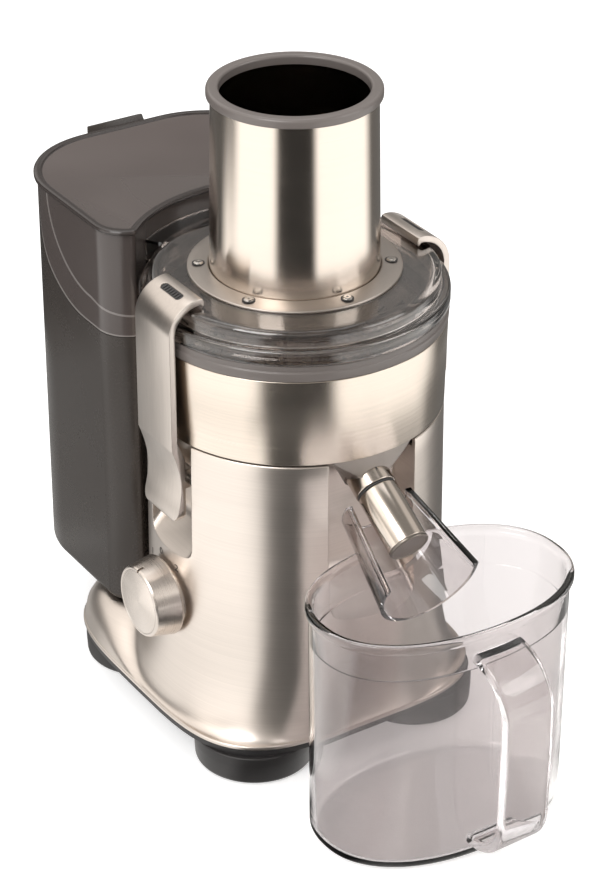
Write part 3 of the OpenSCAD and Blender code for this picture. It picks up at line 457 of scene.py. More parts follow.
def combine(obj, others, operation="DIFFERENCE"):
    """Cuts or joins the others with obj and removes them."""
    for other in others:
        change = obj.modifiers.new(operation.title(), "BOOLEAN")
        change.object = other
        change.operation = operation
        change.solver = "MANIFOLD"
        bake(obj)
        bpy.data.objects.remove(other)
        if not obj.data.polygons:
            raise RuntimeError(f"{obj.name} is empty after {operation}")
    return obj


def join(name, parts):
    """Several closed meshes in one object."""
    whole = bmesh.new()
    for part in parts:
        whole.from_mesh(part.data)
        bpy.data.objects.remove(part)
    mesh = bpy.data.meshes.new(name)
    whole.to_mesh(mesh)
    whole.free()
    return link(name, mesh)


def bevel(obj, width, segments=3, angle=30):
    """Rounds the edges sharper than angle."""
    edge = obj.modifiers.new("Bevel", "BEVEL")
    edge.width = width * MM
    edge.segments = segments
    edge.limit_method = "ANGLE"
    edge.angle_limit = math.radians(angle)
    return bake(obj)


def finish_piece(obj, body, finish, replaces=(), angle=30):
    """Last step of every piece: shading, finish, and what it rides on and stands for."""
    obj.data.shade_smooth()
    obj.data.set_sharp_from_angle(angle=math.radians(angle))
    obj.data.materials.clear()
    obj.data.materials.append(FINISH[finish])
    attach(obj, body)
    if replaces:
        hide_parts(*replaces)
    return obj


def turned(degrees, axis):
    """A turn about one axis."""
    return Matrix.Rotation(math.radians(degrees), 4, axis)


def moved(x, y, z):
    """A shift in millimetres."""
    return Matrix.Translation((x, y, z))


ALONG_X = Matrix(((0, 0, 1, 0), (1, 0, 0, 0), (0, 1, 0, 0), (0, 0, 0, 1)))   # local x, y -> Y, Z
ALONG_Y = Matrix(((1, 0, 0, 0), (0, 0, -1, 0), (0, 1, 0, 0), (0, 0, 0, 1)))  # local x, y -> X, Z
SPOUT = moved(*SPOUT_ROOT) @ Matrix.Rotation(math.pi / 2 + SPOUT_DROP, 4, "X")
KNOB = moved(*KNOB_AT) @ turned(90, "Y")
CROWN = moved(CLAMP_FACE - CLAMP_BEND, 0, HOOK_Z - CLAMP_BEND) @ Matrix.Rotation(PAD_LEAN, 4, "Y")
GUARD = moved(*GUARD_AT) @ Matrix.Rotation(GUARD_TILT, 4, "X")
TO_ORIGIN = Matrix.Translation(-SPIN / MM)


# ---- shader helpers --------------------------------------------------------------


class Wiring:
    """Short hand for the nodes of one material or group."""

    def __init__(self, tree):
        """Takes the node tree that the other calls add to."""
        self.tree = tree

    def node(self, kind, **values):
        """A new node with some of its settings."""
        made = self.tree.nodes.new(kind)
        for key, value in values.items():
            setattr(made, key, value)
        return made

    def feed(self, made, socket, value):
        """Sets a socket, or links it when the value is an output."""
        if isinstance(value, bpy.types.NodeSocket):
            self.tree.links.new(value, made.inputs[socket])
        else:
            made.inputs[socket].default_value = value
        return made

    def step(self, kind, feeds, output=0, **values):
        """A new node with its inputs fed; gives back one of its outputs."""
        made = self.node(kind, **values)
        for socket, value in feeds.items():
            self.feed(made, socket, value)
        return made.outputs[output]

    def math(self, operation, a, b=0.0, c=0.5, clamp=False):
        """One sum on plain values."""
        feeds = {0: a, 1: b, 2: c}
        return self.step("ShaderNodeMath", feeds, operation=operation, use_clamp=clamp)

    def vector(self, operation, a, b=(0, 0, 0)):
        """One sum on vectors."""
        output = "Value" if operation in ("LENGTH", "DOT_PRODUCT") else "Vector"
        return self.step("ShaderNodeVectorMath", {0: a, 1: b}, output, operation=operation)

    def noise(self, vector, scale, detail=3.0, rough=0.5):
        """Cloudy noise from 0 to 1."""
        feeds = {"Vector": vector, "Scale": scale, "Detail": detail, "Roughness": rough}
        return self.step("ShaderNodeTexNoise", feeds, "Fac")

    def spread(self, value, low, high, new_low=0.0, new_high=1.0):
        """Stretches low to high onto a new range."""
        feeds = {"Value": value, "From Min": low, "From Max": high}
        feeds.update({"To Min": new_low, "To Max": new_high})
        return self.step("ShaderNodeMapRange", feeds, "Result")

    def window(self, value, low, high, soft):
        """One between low and high, fading to nothing across each end."""
        rise = self.spread(value, low - soft, low + soft)
        return self.math("MULTIPLY", rise, self.spread(value, high + soft, high - soft))

    def mix(self, factor, a, b):
        """Blends two colours."""
        return self.step("ShaderNodeMix", {0: factor, 6: a, 7: b}, 2, data_type="RGBA")

    def mix_levels(self, factor, a, b):
        """Blends two plain values."""
        return self.step("ShaderNodeMix", {0: factor, 2: a, 3: b}, data_type="FLOAT")

    def bump(self, height, strength, distance, normal=None):
        """Small relief, laid over another normal when there is one."""
        feeds = {"Strength": strength, "Distance": distance, "Height": height}
        if normal is not None:
            feeds["Normal"] = normal
        return self.step("ShaderNodeBump", feeds, "Normal")

    def group(self, name, **values):
        """The outputs of one of the shared groups."""
        made = self.node("ShaderNodeGroup", node_tree=bpy.data.node_groups[name])
        for socket, value in values.items():
            self.feed(made, socket, value)
        return made.outputs

    def place(self):
        """Where on the piece the shader is, in metres."""
        return self.node("ShaderNodeTexCoord").outputs["Object"]

    def height(self):
        """Height above the table, in metres."""
        return self.vector("DOT_PRODUCT", self.place(), (0, 0, 1))

    def bearing(self, way):
        """Degrees round from the camera's side, for a way out from the spin axis."""
        ahead = self.vector("DOT_PRODUCT", way, (-LOOK_X, -LOOK_Y, 0))
        across = self.vector("DOT_PRODUCT", way, (LOOK_Y, -LOOK_X, 0))
        return self.math("MULTIPLY", self.math("ARCTAN2", across, ahead), 180 / math.pi)

    def rays(self):
        """Whether a ray is seen, also through clear plastic, and whether it is only mirrored."""
        light = self.node("ShaderNodeLightPath").outputs
        seen = self.math("MAXIMUM", light["Is Camera Ray"], light["Is Transmission Ray"])
        mirrored = self.math("SUBTRACT", light["Is Glossy Ray"], seen, clamp=True)
        return seen, mirrored


def new_group(name, inputs, outputs):
    """An empty shader group with its sockets: wiring, given values and results."""
    tree = bpy.data.node_groups.new(name, "ShaderNodeTree")
    for label, kind, default in inputs:
        socket = tree.interface.new_socket(label, in_out="INPUT", socket_type=kind)
        socket.default_value = default
    for label in outputs:
        tree.interface.new_socket(label, in_out="OUTPUT", socket_type="NodeSocketFloat")
    wiring = Wiring(tree)
    return wiring, wiring.node("NodeGroupInput").outputs, wiring.node("NodeGroupOutput").inputs


def brush_lines_group():
    """Fine brush lines: Direction squeezes the noise so that it runs along the lines."""
    w, given, out = new_group(
        "Brush Lines",
        [("Direction", "NodeSocketVector", (40, 40, 3000)), ("Contrast", "NodeSocketFloat", 0.5)],
        ["Lines"],
    )
    squeezed = w.vector("MULTIPLY", w.place(), given["Direction"])
    fine = w.noise(squeezed, 1.0, 4.0, 0.62)
    coarse = w.noise(w.vector("MULTIPLY", squeezed, (0.35, 0.35, 0.35)), 1.0, 2.0, 0.5)
    both = w.math("ADD", w.math("MULTIPLY", fine, 0.65), w.math("MULTIPLY", coarse, 0.35))
    centred = w.math("MULTIPLY", w.math("SUBTRACT", both, 0.5), given["Contrast"])
    w.tree.links.new(w.math("ADD", centred, 0.5, clamp=True), out["Lines"])


def handling_group():
    """Handling marks and faint smudges."""
    w, given, out = new_group(
        "Handling",
        [("Size", "NodeSocketFloat", 30.0), ("Amount", "NodeSocketFloat", 0.1)],
        ["Smudge", "Specks"],
    )
    place = w.place()
    cloud = w.spread(w.noise(place, given["Size"], 5.0, 0.6), 0.35, 0.75)
    w.tree.links.new(w.math("MULTIPLY", cloud, given["Amount"]), out["Smudge"])
    specks = w.spread(w.noise(place, 1800.0, 2.0, 0.5), 0.66, 0.74)
    w.tree.links.new(specks, out["Specks"])


def moulded_grain_group():
    """Fine grain of moulded plastic and cast surfaces."""
    w, given, out = new_group(
        "Moulded Grain",
        [("Scale", "NodeSocketFloat", 1500.0), ("Depth", "NodeSocketFloat", 0.5)],
        ["Grain", "Flow"],
    )
    place = w.place()
    grain = w.noise(place, given["Scale"], 3.0, 0.6)
    w.tree.links.new(w.math("MULTIPLY", grain, given["Depth"]), out["Grain"])
    w.tree.links.new(w.noise(place, 9.0, 2.0, 0.5), out["Flow"])


def blank_material(name):
    """A new material without nodes, and its wiring."""
    made = bpy.data.materials.new(name)
    made.use_nodes = True
    made.node_tree.nodes.clear()
    return made, Wiring(made.node_tree)


def principled(name):
    """A new finish: the material, its wiring and its shader."""
    made, wiring = blank_material(name)
    shader = wiring.node("ShaderNodeBsdfPrincipled")
    wiring.feed(wiring.node("ShaderNodeOutputMaterial"), "Surface", shader.outputs[0])
    return made, wiring, shader


def scaled(colour, by):
    """A colour made lighter or darker, with its alpha."""
    return (colour[0] * by, colour[1] * by, colour[2] * by, 1.0)


# ---- finishes ----------------------------------------------------------------------

FINISH = {}
# nearly black, painted as shade inside the filter bowl
PAINTED_BOWL_SHADE = (0.022, 0.019, 0.018, 1)


def metal(name, colour, rough, lines, contrast, depth=0.02, edge=0.7, spread=0.0, way=None):
    """Brushed or satin metal.

    Lines squeezes the grain: the larger a number, the finer the grain along that axis. Depth and
    edge, the relief of the lines and the softened edge, are in millimetres. Spread stretches
    the highlights, square to way.
    """
    made, w, shader = principled(name)
    brush = w.group("Brush Lines", Direction=lines, Contrast=contrast)["Lines"]
    smudge = w.group("Handling", Size=26.0, Amount=0.04)["Smudge"]
    tone = w.mix(w.spread(brush, 0.25, 0.75), scaled(colour, 0.86), scaled(colour, 1.08))
    tone = w.mix(w.math("MULTIPLY", smudge, 0.8), tone, scaled(colour, 0.9))
    uneven = w.spread(brush, 0.2, 0.8, rough - 0.05, rough + 0.06)
    soft_edge = w.step("ShaderNodeBevel", {"Radius": edge * MM}, samples=4)
    w.feed(shader, "Base Color", tone)
    w.feed(shader, "Metallic", 1.0)
    w.feed(shader, "Roughness", w.math("ADD", uneven, smudge))
    w.feed(shader, "Normal", w.bump(brush, 0.3, depth * MM, soft_edge))
    if spread:
        w.feed(shader, "Anisotropic", spread)
        w.feed(shader, "Tangent", w.vector("NORMALIZE", way))
    return made


def plastic(name, colour, rough, grain=1500.0, depth=0.01, coat=0.0, alpha=1.0, specular=0.5,
            inner=None, rim=None):
    """Moulded plastic or rubber.

    Within the radius inner it is nearly black. Rim is the height of a rolled rim: the roll is
    darker than the plate that it frames. All lengths are in millimetres.
    """
    made, w, shader = principled(name)
    skin = w.group("Moulded Grain", Scale=grain, Depth=1.0)
    hand = w.group("Handling", Size=18.0, Amount=0.12)
    tone = w.mix(w.spread(skin["Flow"], 0.3, 0.7), scaled(colour, 0.92), scaled(colour, 1.08))
    tone = w.mix(w.math("MULTIPLY", hand["Specks"], 0.08), tone, scaled(colour, 1.6))
    # painted shade: inside the radius inner the colour fades to nearly black, for the dark inside
    # of the bowl
    if inner:
        away = w.vector("SUBTRACT", w.place(), tuple(SPIN))
        radius = w.vector("LENGTH", w.vector("MULTIPLY", away, (1, 1, 0)))
        tone = w.mix(w.spread(radius, inner * MM, (inner + 0.4) * MM), PAINTED_BOWL_SHADE, tone)
    # painted shade: the skirt under the rolled rim is given a darker colour, and the roll itself a
    # much darker one
    if rim:
        height, foot = w.height(), rim - HOOD_ROLL
        above = w.spread(height, (foot - 0.05) * MM, (foot + 0.05) * MM)
        plate = w.math("COMPARE", height, (rim - HOOD_PLATE) * MM, 0.1 * MM)
        tone = w.mix(above, scaled(colour, 0.74), tone)
        tone = w.mix(w.math("SUBTRACT", above, plate, clamp=True), tone, scaled(colour, 0.40))
    uneven = w.spread(skin["Grain"], 0.2, 0.8, rough - 0.03, rough + 0.03)
    w.feed(shader, "Base Color", tone)
    w.feed(shader, "Roughness", w.math("ADD", hand["Smudge"], uneven))
    w.feed(shader, "Normal", w.bump(skin["Grain"], 0.3, depth * MM))
    w.feed(shader, "Specular IOR Level", specular)
    w.feed(shader, "Coat Weight", coat)
    w.feed(shader, "Coat Roughness", 0.05)
    w.feed(shader, "Alpha", alpha)
    return made


def clear(name, colour, rough, ior, coat, plate=None):
    """Clear or smoked plastic; plate is the deeper tint of the lid's flat top."""
    made, w, shader = principled(name)
    flow = w.group("Moulded Grain", Scale=700.0, Depth=1.0)["Flow"]
    smudge = w.group("Handling", Size=20.0, Amount=0.04)["Smudge"]
    tone = w.mix(w.spread(flow, 0.3, 0.7), scaled(colour, 0.97), scaled(colour, 1.0))
    if plate:
        top = w.spread(w.height(), (LID_Z - 4) * MM, (LID_Z - 3) * MM)
        tone = w.mix(top, tone, scaled(plate, 1.0))
    w.feed(shader, "Base Color", tone)
    w.feed(shader, "Roughness", w.math("ADD", smudge, rough))
    w.feed(shader, "Normal", w.bump(flow, 0.05, 0.4 * MM))
    w.feed(shader, "Transmission Weight", 1.0)
    w.feed(shader, "IOR", ior)
    w.feed(shader, "Coat Weight", coat)
    w.feed(shader, "Coat Roughness", 0.02)
    return made


def spun_face(colour, centre):
    """The knob's face: fine turned rings that spread the light along the radius."""
    made, w, shader = principled("Spun Face")
    flat = w.vector("MULTIPLY", w.vector("SUBTRACT", w.place(), centre), (0, 1, 1))
    along = w.math("MULTIPLY", w.vector("LENGTH", flat), 3800.0)
    feeds = {"W": along, "Scale": 1.0, "Detail": 3.0}
    lines = w.step("ShaderNodeTexNoise", feeds, "Fac", noise_dimensions="1D")
    w.feed(shader, "Base Color", w.mix(lines, scaled(colour, 0.84), scaled(colour, 1.06)))
    w.feed(shader, "Metallic", 1.0)
    w.feed(shader, "Roughness", w.spread(lines, 0.2, 0.8, 0.20, 0.30))
    w.feed(shader, "Anisotropic", 0.85)
    w.feed(shader, "Tangent", w.vector("NORMALIZE", flat))
    w.feed(shader, "Normal", w.bump(lines, 0.3, 0.01 * MM))
    return made


def make_finishes(colours):
    """Every finish of the juicer, from the colours of the panel."""
    cast, steel, grey = colours.casting, colours.sleeve, colours.ring
    upright, endwise = (0, 0, 1), (1, 0, 0)
    knob_centre = tuple(Vector(KNOB_AT) * MM + SPIN)
    FINISH.update(
        casting=metal("Satin Casting", cast, 0.30, (16, 16, 2600), 0.6, 0.008, 0.7, 0.6, upright),
        clamp=metal("Clamp Casting", scaled(cast, 0.88), 0.30, (900, 900, 60), 0.7, 0.008),
        band=metal("Brushed Band", colours.band, 0.22, (9, 9, 3600), 0.7, 0.008, 0.7, 0.7, upright),
        sleeve=metal("Feed Sleeve", steel, 0.18, (7, 7, 3800), 0.5, 0.004, 0.7, 0.7, upright),
        knob_side=metal("Knob Side", cast, 0.27, (3600, 60, 60), 0.8, 0.015, 0.7, 0.6, endwise),
        knob_face=spun_face(cast, knob_centre),
        bezel=metal("Bezel", scaled(cast, 0.66), 0.34, (60, 60, 2000), 0.5),
        # the boss takes the casting colour much darkened, as painted shade in the spout's recess
        boss=metal("Spout Boss", scaled(cast, 0.42), 0.32, (40, 40, 40), 0.4),
        screw=metal("Screws", (0.50, 0.47, 0.44), 0.24, (500, 500, 500), 0.4, edge=0.2),
        # painted shade: the spout's steel is a darker copy of the sleeve's, its cap a much darker
        # one
        spout=metal("Spout Steel", scaled(steel, 0.86), 0.17, (40, 40, 40), 0.4, edge=0.4),
        spout_cap=metal("Spout Cap Steel", scaled(steel, 0.30), 0.30, (40, 40, 40), 0.4, edge=0.4),
        bright=metal("Basket Steel", (0.68, 0.67, 0.65), 0.26, (700, 700, 700), 0.6, edge=0.3),
        core=metal("Stamped Core", (0.30, 0.30, 0.31), 0.45, (20, 20, 2500), 1.0, edge=0.3),
        copper=metal("Copper Winding", (0.72, 0.36, 0.17), 0.35, (50, 50, 1400), 1.0, edge=0.3),
        ring=plastic("Grey Ring", grey, 0.34, 1400.0, 0.006, coat=0.25),
        # inner paints the bowl's inside nearly black as painted shade
        bowl=plastic("Bowl Plastic", grey, 0.34, 1400.0, 0.006, coat=0.25, inner=83.4),
        dark=plastic("Dark Plastic", (0.032, 0.030, 0.030), 0.45, 1300.0),
        rubber=plastic("Foot Rubber", colours.foot, 0.42, 900.0, 0.02),
        white=plastic("Fan Plastic", (0.55, 0.54, 0.50), 0.4),
        board=plastic("Circuit Board", (0.02, 0.13, 0.05), 0.35, 400.0, 0.03),
        brush=plastic("Brush Holder", (0.20, 0.10, 0.05), 0.5),
        ink=plastic("Dial Ink", (0.05, 0.045, 0.04), 0.5),
        bin=plastic("Charcoal Bin", colours.bin, 0.22, 600.0, 0.002, specular=0.3),
        # rim paints the hood's skirt and rolled rim darker as painted shade
        hood=plastic("Charcoal Hood", colours.hood, 0.12, 600.0, 0.002, alpha=0.95, rim=HOOD_Z),
        # the seam beads' lighter colour is a painted highlight along the hood's seam
        seam=plastic("Seam Bead", (0.20, 0.18, 0.17), 0.12, 600.0, 0.002),
        lid=clear("Smoked Lid", colours.lid, 0.02, 1.5, 0.8, plate=(0.38, 0.33, 0.30)),
        jug=clear("Clear Jug", colours.jug, 0.01, 1.2, 1.0),
    )


# ---- repeated details ------------------------------------------------------------


def repeat_tree(name, shape, values):
    """Geometry Nodes: copies of one small object on a ring of points, realized, with its finish."""
    tree = bpy.data.node_groups.new(name, "GeometryNodeTree")
    for label, (kind, default) in values.items():
        socket = tree.interface.new_socket(label, in_out="INPUT", socket_type=kind)
        socket.default_value = default
    tree.interface.new_socket("Geometry", in_out="OUTPUT", socket_type="NodeSocketGeometry")
    w = Wiring(tree)
    given = w.node("NodeGroupInput").outputs

    circle = {"Vertices": given["Count"], "Radius": given["Radius"]}
    ring = w.step("GeometryNodeMeshCircle", circle)
    outwards = {"Vector": w.node("GeometryNodeInputPosition").outputs[0]}
    aim = w.step("FunctionNodeAlignEulerToVector", outwards, axis="X")
    chance = w.step("FunctionNodeRandomValue", {"Seed": given["Seed"]}, 1, data_type="FLOAT")
    skew = w.step("ShaderNodeCombineXYZ", {"Z": w.math("MULTIPLY", chance, given["Skew"])})
    turn = {"Rotation": aim, "Rotate By": skew}
    turned_copy = w.step("FunctionNodeRotateEuler", turn, space="LOCAL")
    source = w.step("GeometryNodeObjectInfo", {"Object": shape}, "Geometry")
    copies = {"Points": ring, "Instance": source, "Rotation": turned_copy}
    start = w.step("ShaderNodeCombineXYZ", {"Z": given["Start"]})
    height = w.step("ShaderNodeCombineXYZ", {"Z": given["Height"]})
    placed = {"Rotation": start, "Translation": height}
    placed["Geometry"] = w.step("GeometryNodeInstanceOnPoints", copies)
    lifted = w.step("GeometryNodeTransform", placed)
    whole = w.step("GeometryNodeRealizeInstances", {"Geometry": lifted})
    finished = {"Geometry": whole, "Material": given["Finish"]}
    coated = w.step("GeometryNodeSetMaterial", finished)
    w.feed(w.node("NodeGroupOutput"), "Geometry", coated)
    return tree


def repeat(name, shape, finish, count, radius, height, start=0.0, skew=0.0, seed=7):
    """Copies of shape on a circle about the spin axis, as one plain mesh.

    Lengths are in millimetres; start and skew, the largest random turn, are in degrees.
    """
    values = {
        "Count": ("NodeSocketInt", count),
        "Radius": ("NodeSocketFloat", radius * MM),
        "Height": ("NodeSocketFloat", height * MM),
        "Start": ("NodeSocketFloat", math.radians(start)),
        "Skew": ("NodeSocketFloat", math.radians(skew)),
        "Seed": ("NodeSocketInt", seed),
        "Finish": ("NodeSocketMaterial", FINISH[finish]),
    }
    tree = repeat_tree(f"Ring of {name}", shape, values)
    holder = link(name, bpy.data.meshes.new(name))
    nodes = holder.modifiers.new("Ring", "NODES")
    nodes.node_group = tree
    for item in tree.interface.items_tree:
        if item.in_out == "INPUT":
            nodes[item.identifier] = values[item.name][1]
    bake(holder)
    bpy.data.objects.remove(shape)
    holder.data.transform(Matrix.Translation(SPIN))
    return tidy(holder)


# ---- outlines ----------------------------------------------------------------------


def quarter(angles):
    """Cosine and sine of some angles in degrees, for the steps of a rounded edge."""
    return [(math.cos(math.radians(t)), math.sin(math.radians(t))) for t in angles]


def ease(share):
    """A share kept between nought and one."""
    return max(0.0, min(1.0, share))


def column_radius(z):
    """Radius of the slightly tapered column at one height."""
    along = (z - SKIRT_TOP) / (COLUMN_Z - SKIRT_TOP)
    return COLUMN_R + (COLUMN_TOP_R - COLUMN_R) * along


def plinth_radius(turn):
    """Distance from the spin axis to the plinth's edge in one direction."""
    half, deep = PLINTH_W / 2, (PLINTH_REAR + PLINTH_FRONT) / 2
    mid = (PLINTH_REAR - PLINTH_FRONT) / 2
    low, high = 60.0, 200.0
    for _ in range(HALVINGS):
        r = (low + high) / 2
        out = abs(r * math.cos(turn) / half) ** PLINTH_SQUARE
        out += abs((r * math.sin(turn) - mid) / deep) ** PLINTH_SQUARE
        low, high = (r, high) if out < 1 else (low, r)
    return low


def plinth_height(way, run, y):
    """Height of the plinth above its skirt, part of the way from its edge to the column."""
    hollow = (FLARE_TOP - SKIRT_TOP) * (1 - math.sqrt(max(0.0, 1 - way * way)))
    along = ease((y - SHELF_FROM) / (SHELF_FULL - SHELF_FROM))
    edge = 1 - ease(way * run / SHELF_EDGE)
    rise = along * along * (3 - 2 * along)
    shelf = (SHELF_Z + 0.8 - SKIRT_TOP) * rise * math.sqrt(1 - edge * edge)
    return (hollow ** 3 + shelf ** 3) ** (1 / 3)


def pocket(way, recess, top):
    """A recess of the column from the side: its back, and its floor falling to the outside."""
    back, sill, end, lip = recess
    return [(way * back, top), (way * back, sill), (way * end, lip), (way * end, top)]


def bin_outline(inset=0.0, grow=0.0, blend=2.5):
    """Plan of bin and hood: round corners at the back, hollow front round the column."""
    half, back = BIN_HALF + grow, BIN_BACK + grow
    front = math.sqrt(BIN_HOLLOW ** 2 - (half - 14) ** 2)
    cx, cy = half - BIN_FRONT_CORNER, front + BIN_FRONT_CORNER
    r, hollow = BIN_FRONT_CORNER - inset, BIN_HOLLOW + inset - grow
    far = math.hypot(cx, cy)
    reach = math.acos((far * far + r * r - hollow * hollow) / (2 * far * r))
    end = math.degrees(math.atan2(-cy, -cx) + reach)
    tip = Vector((cx + r * math.cos(math.radians(end)), cy + r * math.sin(math.radians(end))))
    turn = math.degrees(math.atan2(tip.y, tip.x))
    side = arc(cx, cy, r, r, end + math.degrees(blend / r), 0, 12)
    inner = arc(0, 0, hollow, hollow, 90, turn + math.degrees(blend / hollow), 16)
    a, b = Vector(inner[-1]), Vector(side[0])
    nose = []
    for t in (0.2, 0.4, 0.6, 0.8):
        nose.append(tuple((1 - t) ** 2 * a + 2 * t * (1 - t) * tip + t * t * b))
    corner = BIN_CORNER - inset
    rear = arc(half - BIN_CORNER, back - BIN_CORNER, corner, corner, 0, 90, 20)
    right = inner[1:] + nose + side + rear
    left = [(-x, y) for x, y in right[::-1]]
    return right + left + [inner[0]]


def bin_ring(inset, grow, z):
    """The plan of bin and hood as one level ring."""
    return [(x, y, z) for x, y in bin_outline(inset, grow)]


def sector(name, inner, outer, low, high, half):
    """A block between two radii about the spin axis, facing the hood; half is in degrees."""
    outline = arc(0, 0, outer, outer, 90 - half, 90 + half, 24)
    outline += arc(0, 0, inner, inner, 90 + half, 90 - half, 24)
    return prism(name, outline, low, high)


def seam_block(name, gap=0.0):
    """The space that the hood's skirt takes, seen from the side."""
    low, back = SEAM_Z - gap, SEAM_BACK + gap
    side = [(40, low)]
    side += arc(back - SEAM_R, low + SEAM_R, SEAM_R + gap, SEAM_R + gap, -90, 0, 20)
    side += [(back, HOOD_Z + 12), (40, HOOD_Z + 12)]
    return prism(name, side, -120, 120, ALONG_X)


def jug_ring(inset, z, steps=168):
    """Level outline of the jug at one height."""
    a = JUG_HALF + JUG_SPREAD * z / JUG_H - inset
    b = JUG_DEEP - inset
    ring = []
    for k in range(steps):
        c, s = math.cos(TAU * k / steps), math.sin(TAU * k / steps)
        far = (abs(c / a) ** JUG_SQUARE + abs(s / b) ** JUG_SQUARE) ** (-1 / JUG_SQUARE)
        ring.append((JUG_X + far * c, JUG_Y + far * s, z))
    return ring


def clamp_side():
    """Side view of a clamp, outer face towards +X."""
    bend_x, bend_z = CLAMP_FACE - CLAMP_BEND, HOOK_Z - CLAMP_BEND
    bore, inside = CLAMP_BEND - CLAMP_T, CLAMP_FACE - PADDLE_T
    side = [(CLAMP_FACE - CLAMP_T, COLUMN_Z + 3)] + arc(bend_x, bend_z, bore, bore, 0, 90, 14)
    side += [(HOOK_NOSE + back, z) for back, z in HOOK_LIP]
    side += arc(bend_x, bend_z, CLAMP_BEND, CLAMP_BEND, 90, 0, 18)
    top, low = COLUMN_Z - 1.6, PADDLE_Z + 2
    for k in range(33):
        way = k / 32
        face = CLAMP_FACE - 2 * way - PADDLE_DISH * math.sin(math.pi * way)
        side.append((face, top + (low - top) * way))
    side += arc(CLAMP_FACE - 4, PADDLE_Z + 1.6, 2.0, 1.6, -20, -90, 4)
    return side + [(inside + 0.8, PADDLE_Z), (inside, PADDLE_Z + 0.8), (inside, COLUMN_Z - 9)]


def clamp_outline():
    """The clamp seen from outside: straight sides, rounded lower corners of the paddle."""
    half, r = CLAMP_W / 2, CLAMP_CORNER
    line = arc(-half + r, PADDLE_Z + r, r, r, 180, 270, 10)
    line += arc(half - r, PADDLE_Z + r, r, r, 270, 360, 10)
    return line + arc(half - 2, HOOK_Z, 2, 2, 0, 90, 4) + arc(-half + 2, HOOK_Z, 2, 2, 90, 180, 4)


def handle_side(cut):
    """Side view of the handle, from the jug's middle outwards, moved in by cut."""
    side = [(HANDLE_ROOT, HANDLE_TOP - cut)]
    x, z, rx, rz = HANDLE_TOP_BEND
    side += arc(x, z, rx - cut, rz - cut, 90, 0, 14) + [(HANDLE_REACH - cut, HANDLE_GRIP_Z)]
    x, z, rx, rz = HANDLE_LOW_BEND
    side += arc(x, z, rx - cut, rz - cut, 0, -90, 14)
    return side + [(HANDLE_ROOT, HANDLE_FOOT + cut)]


def guard_cone(inset, reach=0.0):
    """The froth guard's cone, moved in by inset and lengthened by reach at both ends."""
    slope = (GUARD_WIDE - GUARD_R) / GUARD_LEN
    near, far = GUARD_R - inset - slope * reach, GUARD_WIDE - inset + slope * reach
    rings = []
    for r, z in ((near, -reach), (far, GUARD_LEN + reach)):
        rings.append([(x, y, z) for x, y in arc(0, 0, r, r, 0, 357, 119)])
    return loft("guard", rings, GUARD)


def guard_room(height):
    """The space above the froth guard."""
    return box("above", (-60, height), (60, 60), -10, GUARD_LEN + 10, GUARD)


# ---- pieces --------------------------------------------------------------------------


def chosen():
    """The sizes that the panel holds."""
    return bpy.context.scene.juicer_sizes


def shell_rings(turns, reach, edge):
    """Rings of the casting's outside, from the skirt over the flare to the column's top."""

    def ring(radius, height):
        """One ring; radius and height are functions of the step round it."""
        spokes = range(len(turns))
        return [
            (radius(k) * math.cos(turns[k]), radius(k) * math.sin(turns[k]), height(k))
            for k in spokes
        ]

    def level(radius, z):
        """A round ring at one height."""
        return ring(lambda k: radius, lambda k: z)

    foot_r = column_radius(FLARE_TOP)
    rings = [ring(lambda k: reach[k] - 0.4, lambda k: SKIRT_Z)]
    rings.append(ring(lambda k: reach[k], lambda k: SKIRT_Z + 0.5))
    for c, s in quarter((0, 22.5, 45, 67.5)):
        rings.append(ring(
            lambda k: reach[k] - edge * (1 - c),
            lambda k: SKIRT_TOP - edge * (1 - s),
        ))
    for i in range(FLARE_STEPS + 1):
        way = math.sin(math.pi / 2 * i / FLARE_STEPS)
        run = [r - edge - foot_r for r in reach]
        rings.append(ring(
            lambda k: reach[k] - edge - way * run[k],
            lambda k: SKIRT_TOP + plinth_height(way, run[k], reach[k] * math.sin(turns[k])),
        ))
    for i in range(1, COLUMN_STEPS + 1):
        z = FLARE_TOP + (COLUMN_Z - edge - FLARE_TOP) * i / COLUMN_STEPS
        rings.append(level(column_radius(z), z))
    for c, s in quarter((30, 60, 90)):
        rings.append(level(column_radius(COLUMN_Z) - edge * (1 - c), COLUMN_Z - edge * (1 - s)))
    seat = COLUMN_Z - DECK_T
    for r, z in ((DECK_R, COLUMN_Z), (DECK_R, seat), (CAVITY_R, seat), (CAVITY_R, SKIRT_Z)):
        rings.append(level(r, z))
    return rings


def closed_tube(name, rings):
    """Skin through rings whose last one joins the first."""
    count = len(rings[0])
    points = [p for ring in rings for p in ring]
    faces = []
    for k in range(len(rings)):
        a, b = k * count, (k + 1) % len(rings) * count
        for i in range(count):
            j = (i + 1) % count
            faces.append((a + i, a + j, b + j, b + i))
    return mesh_object(name, points, faces)


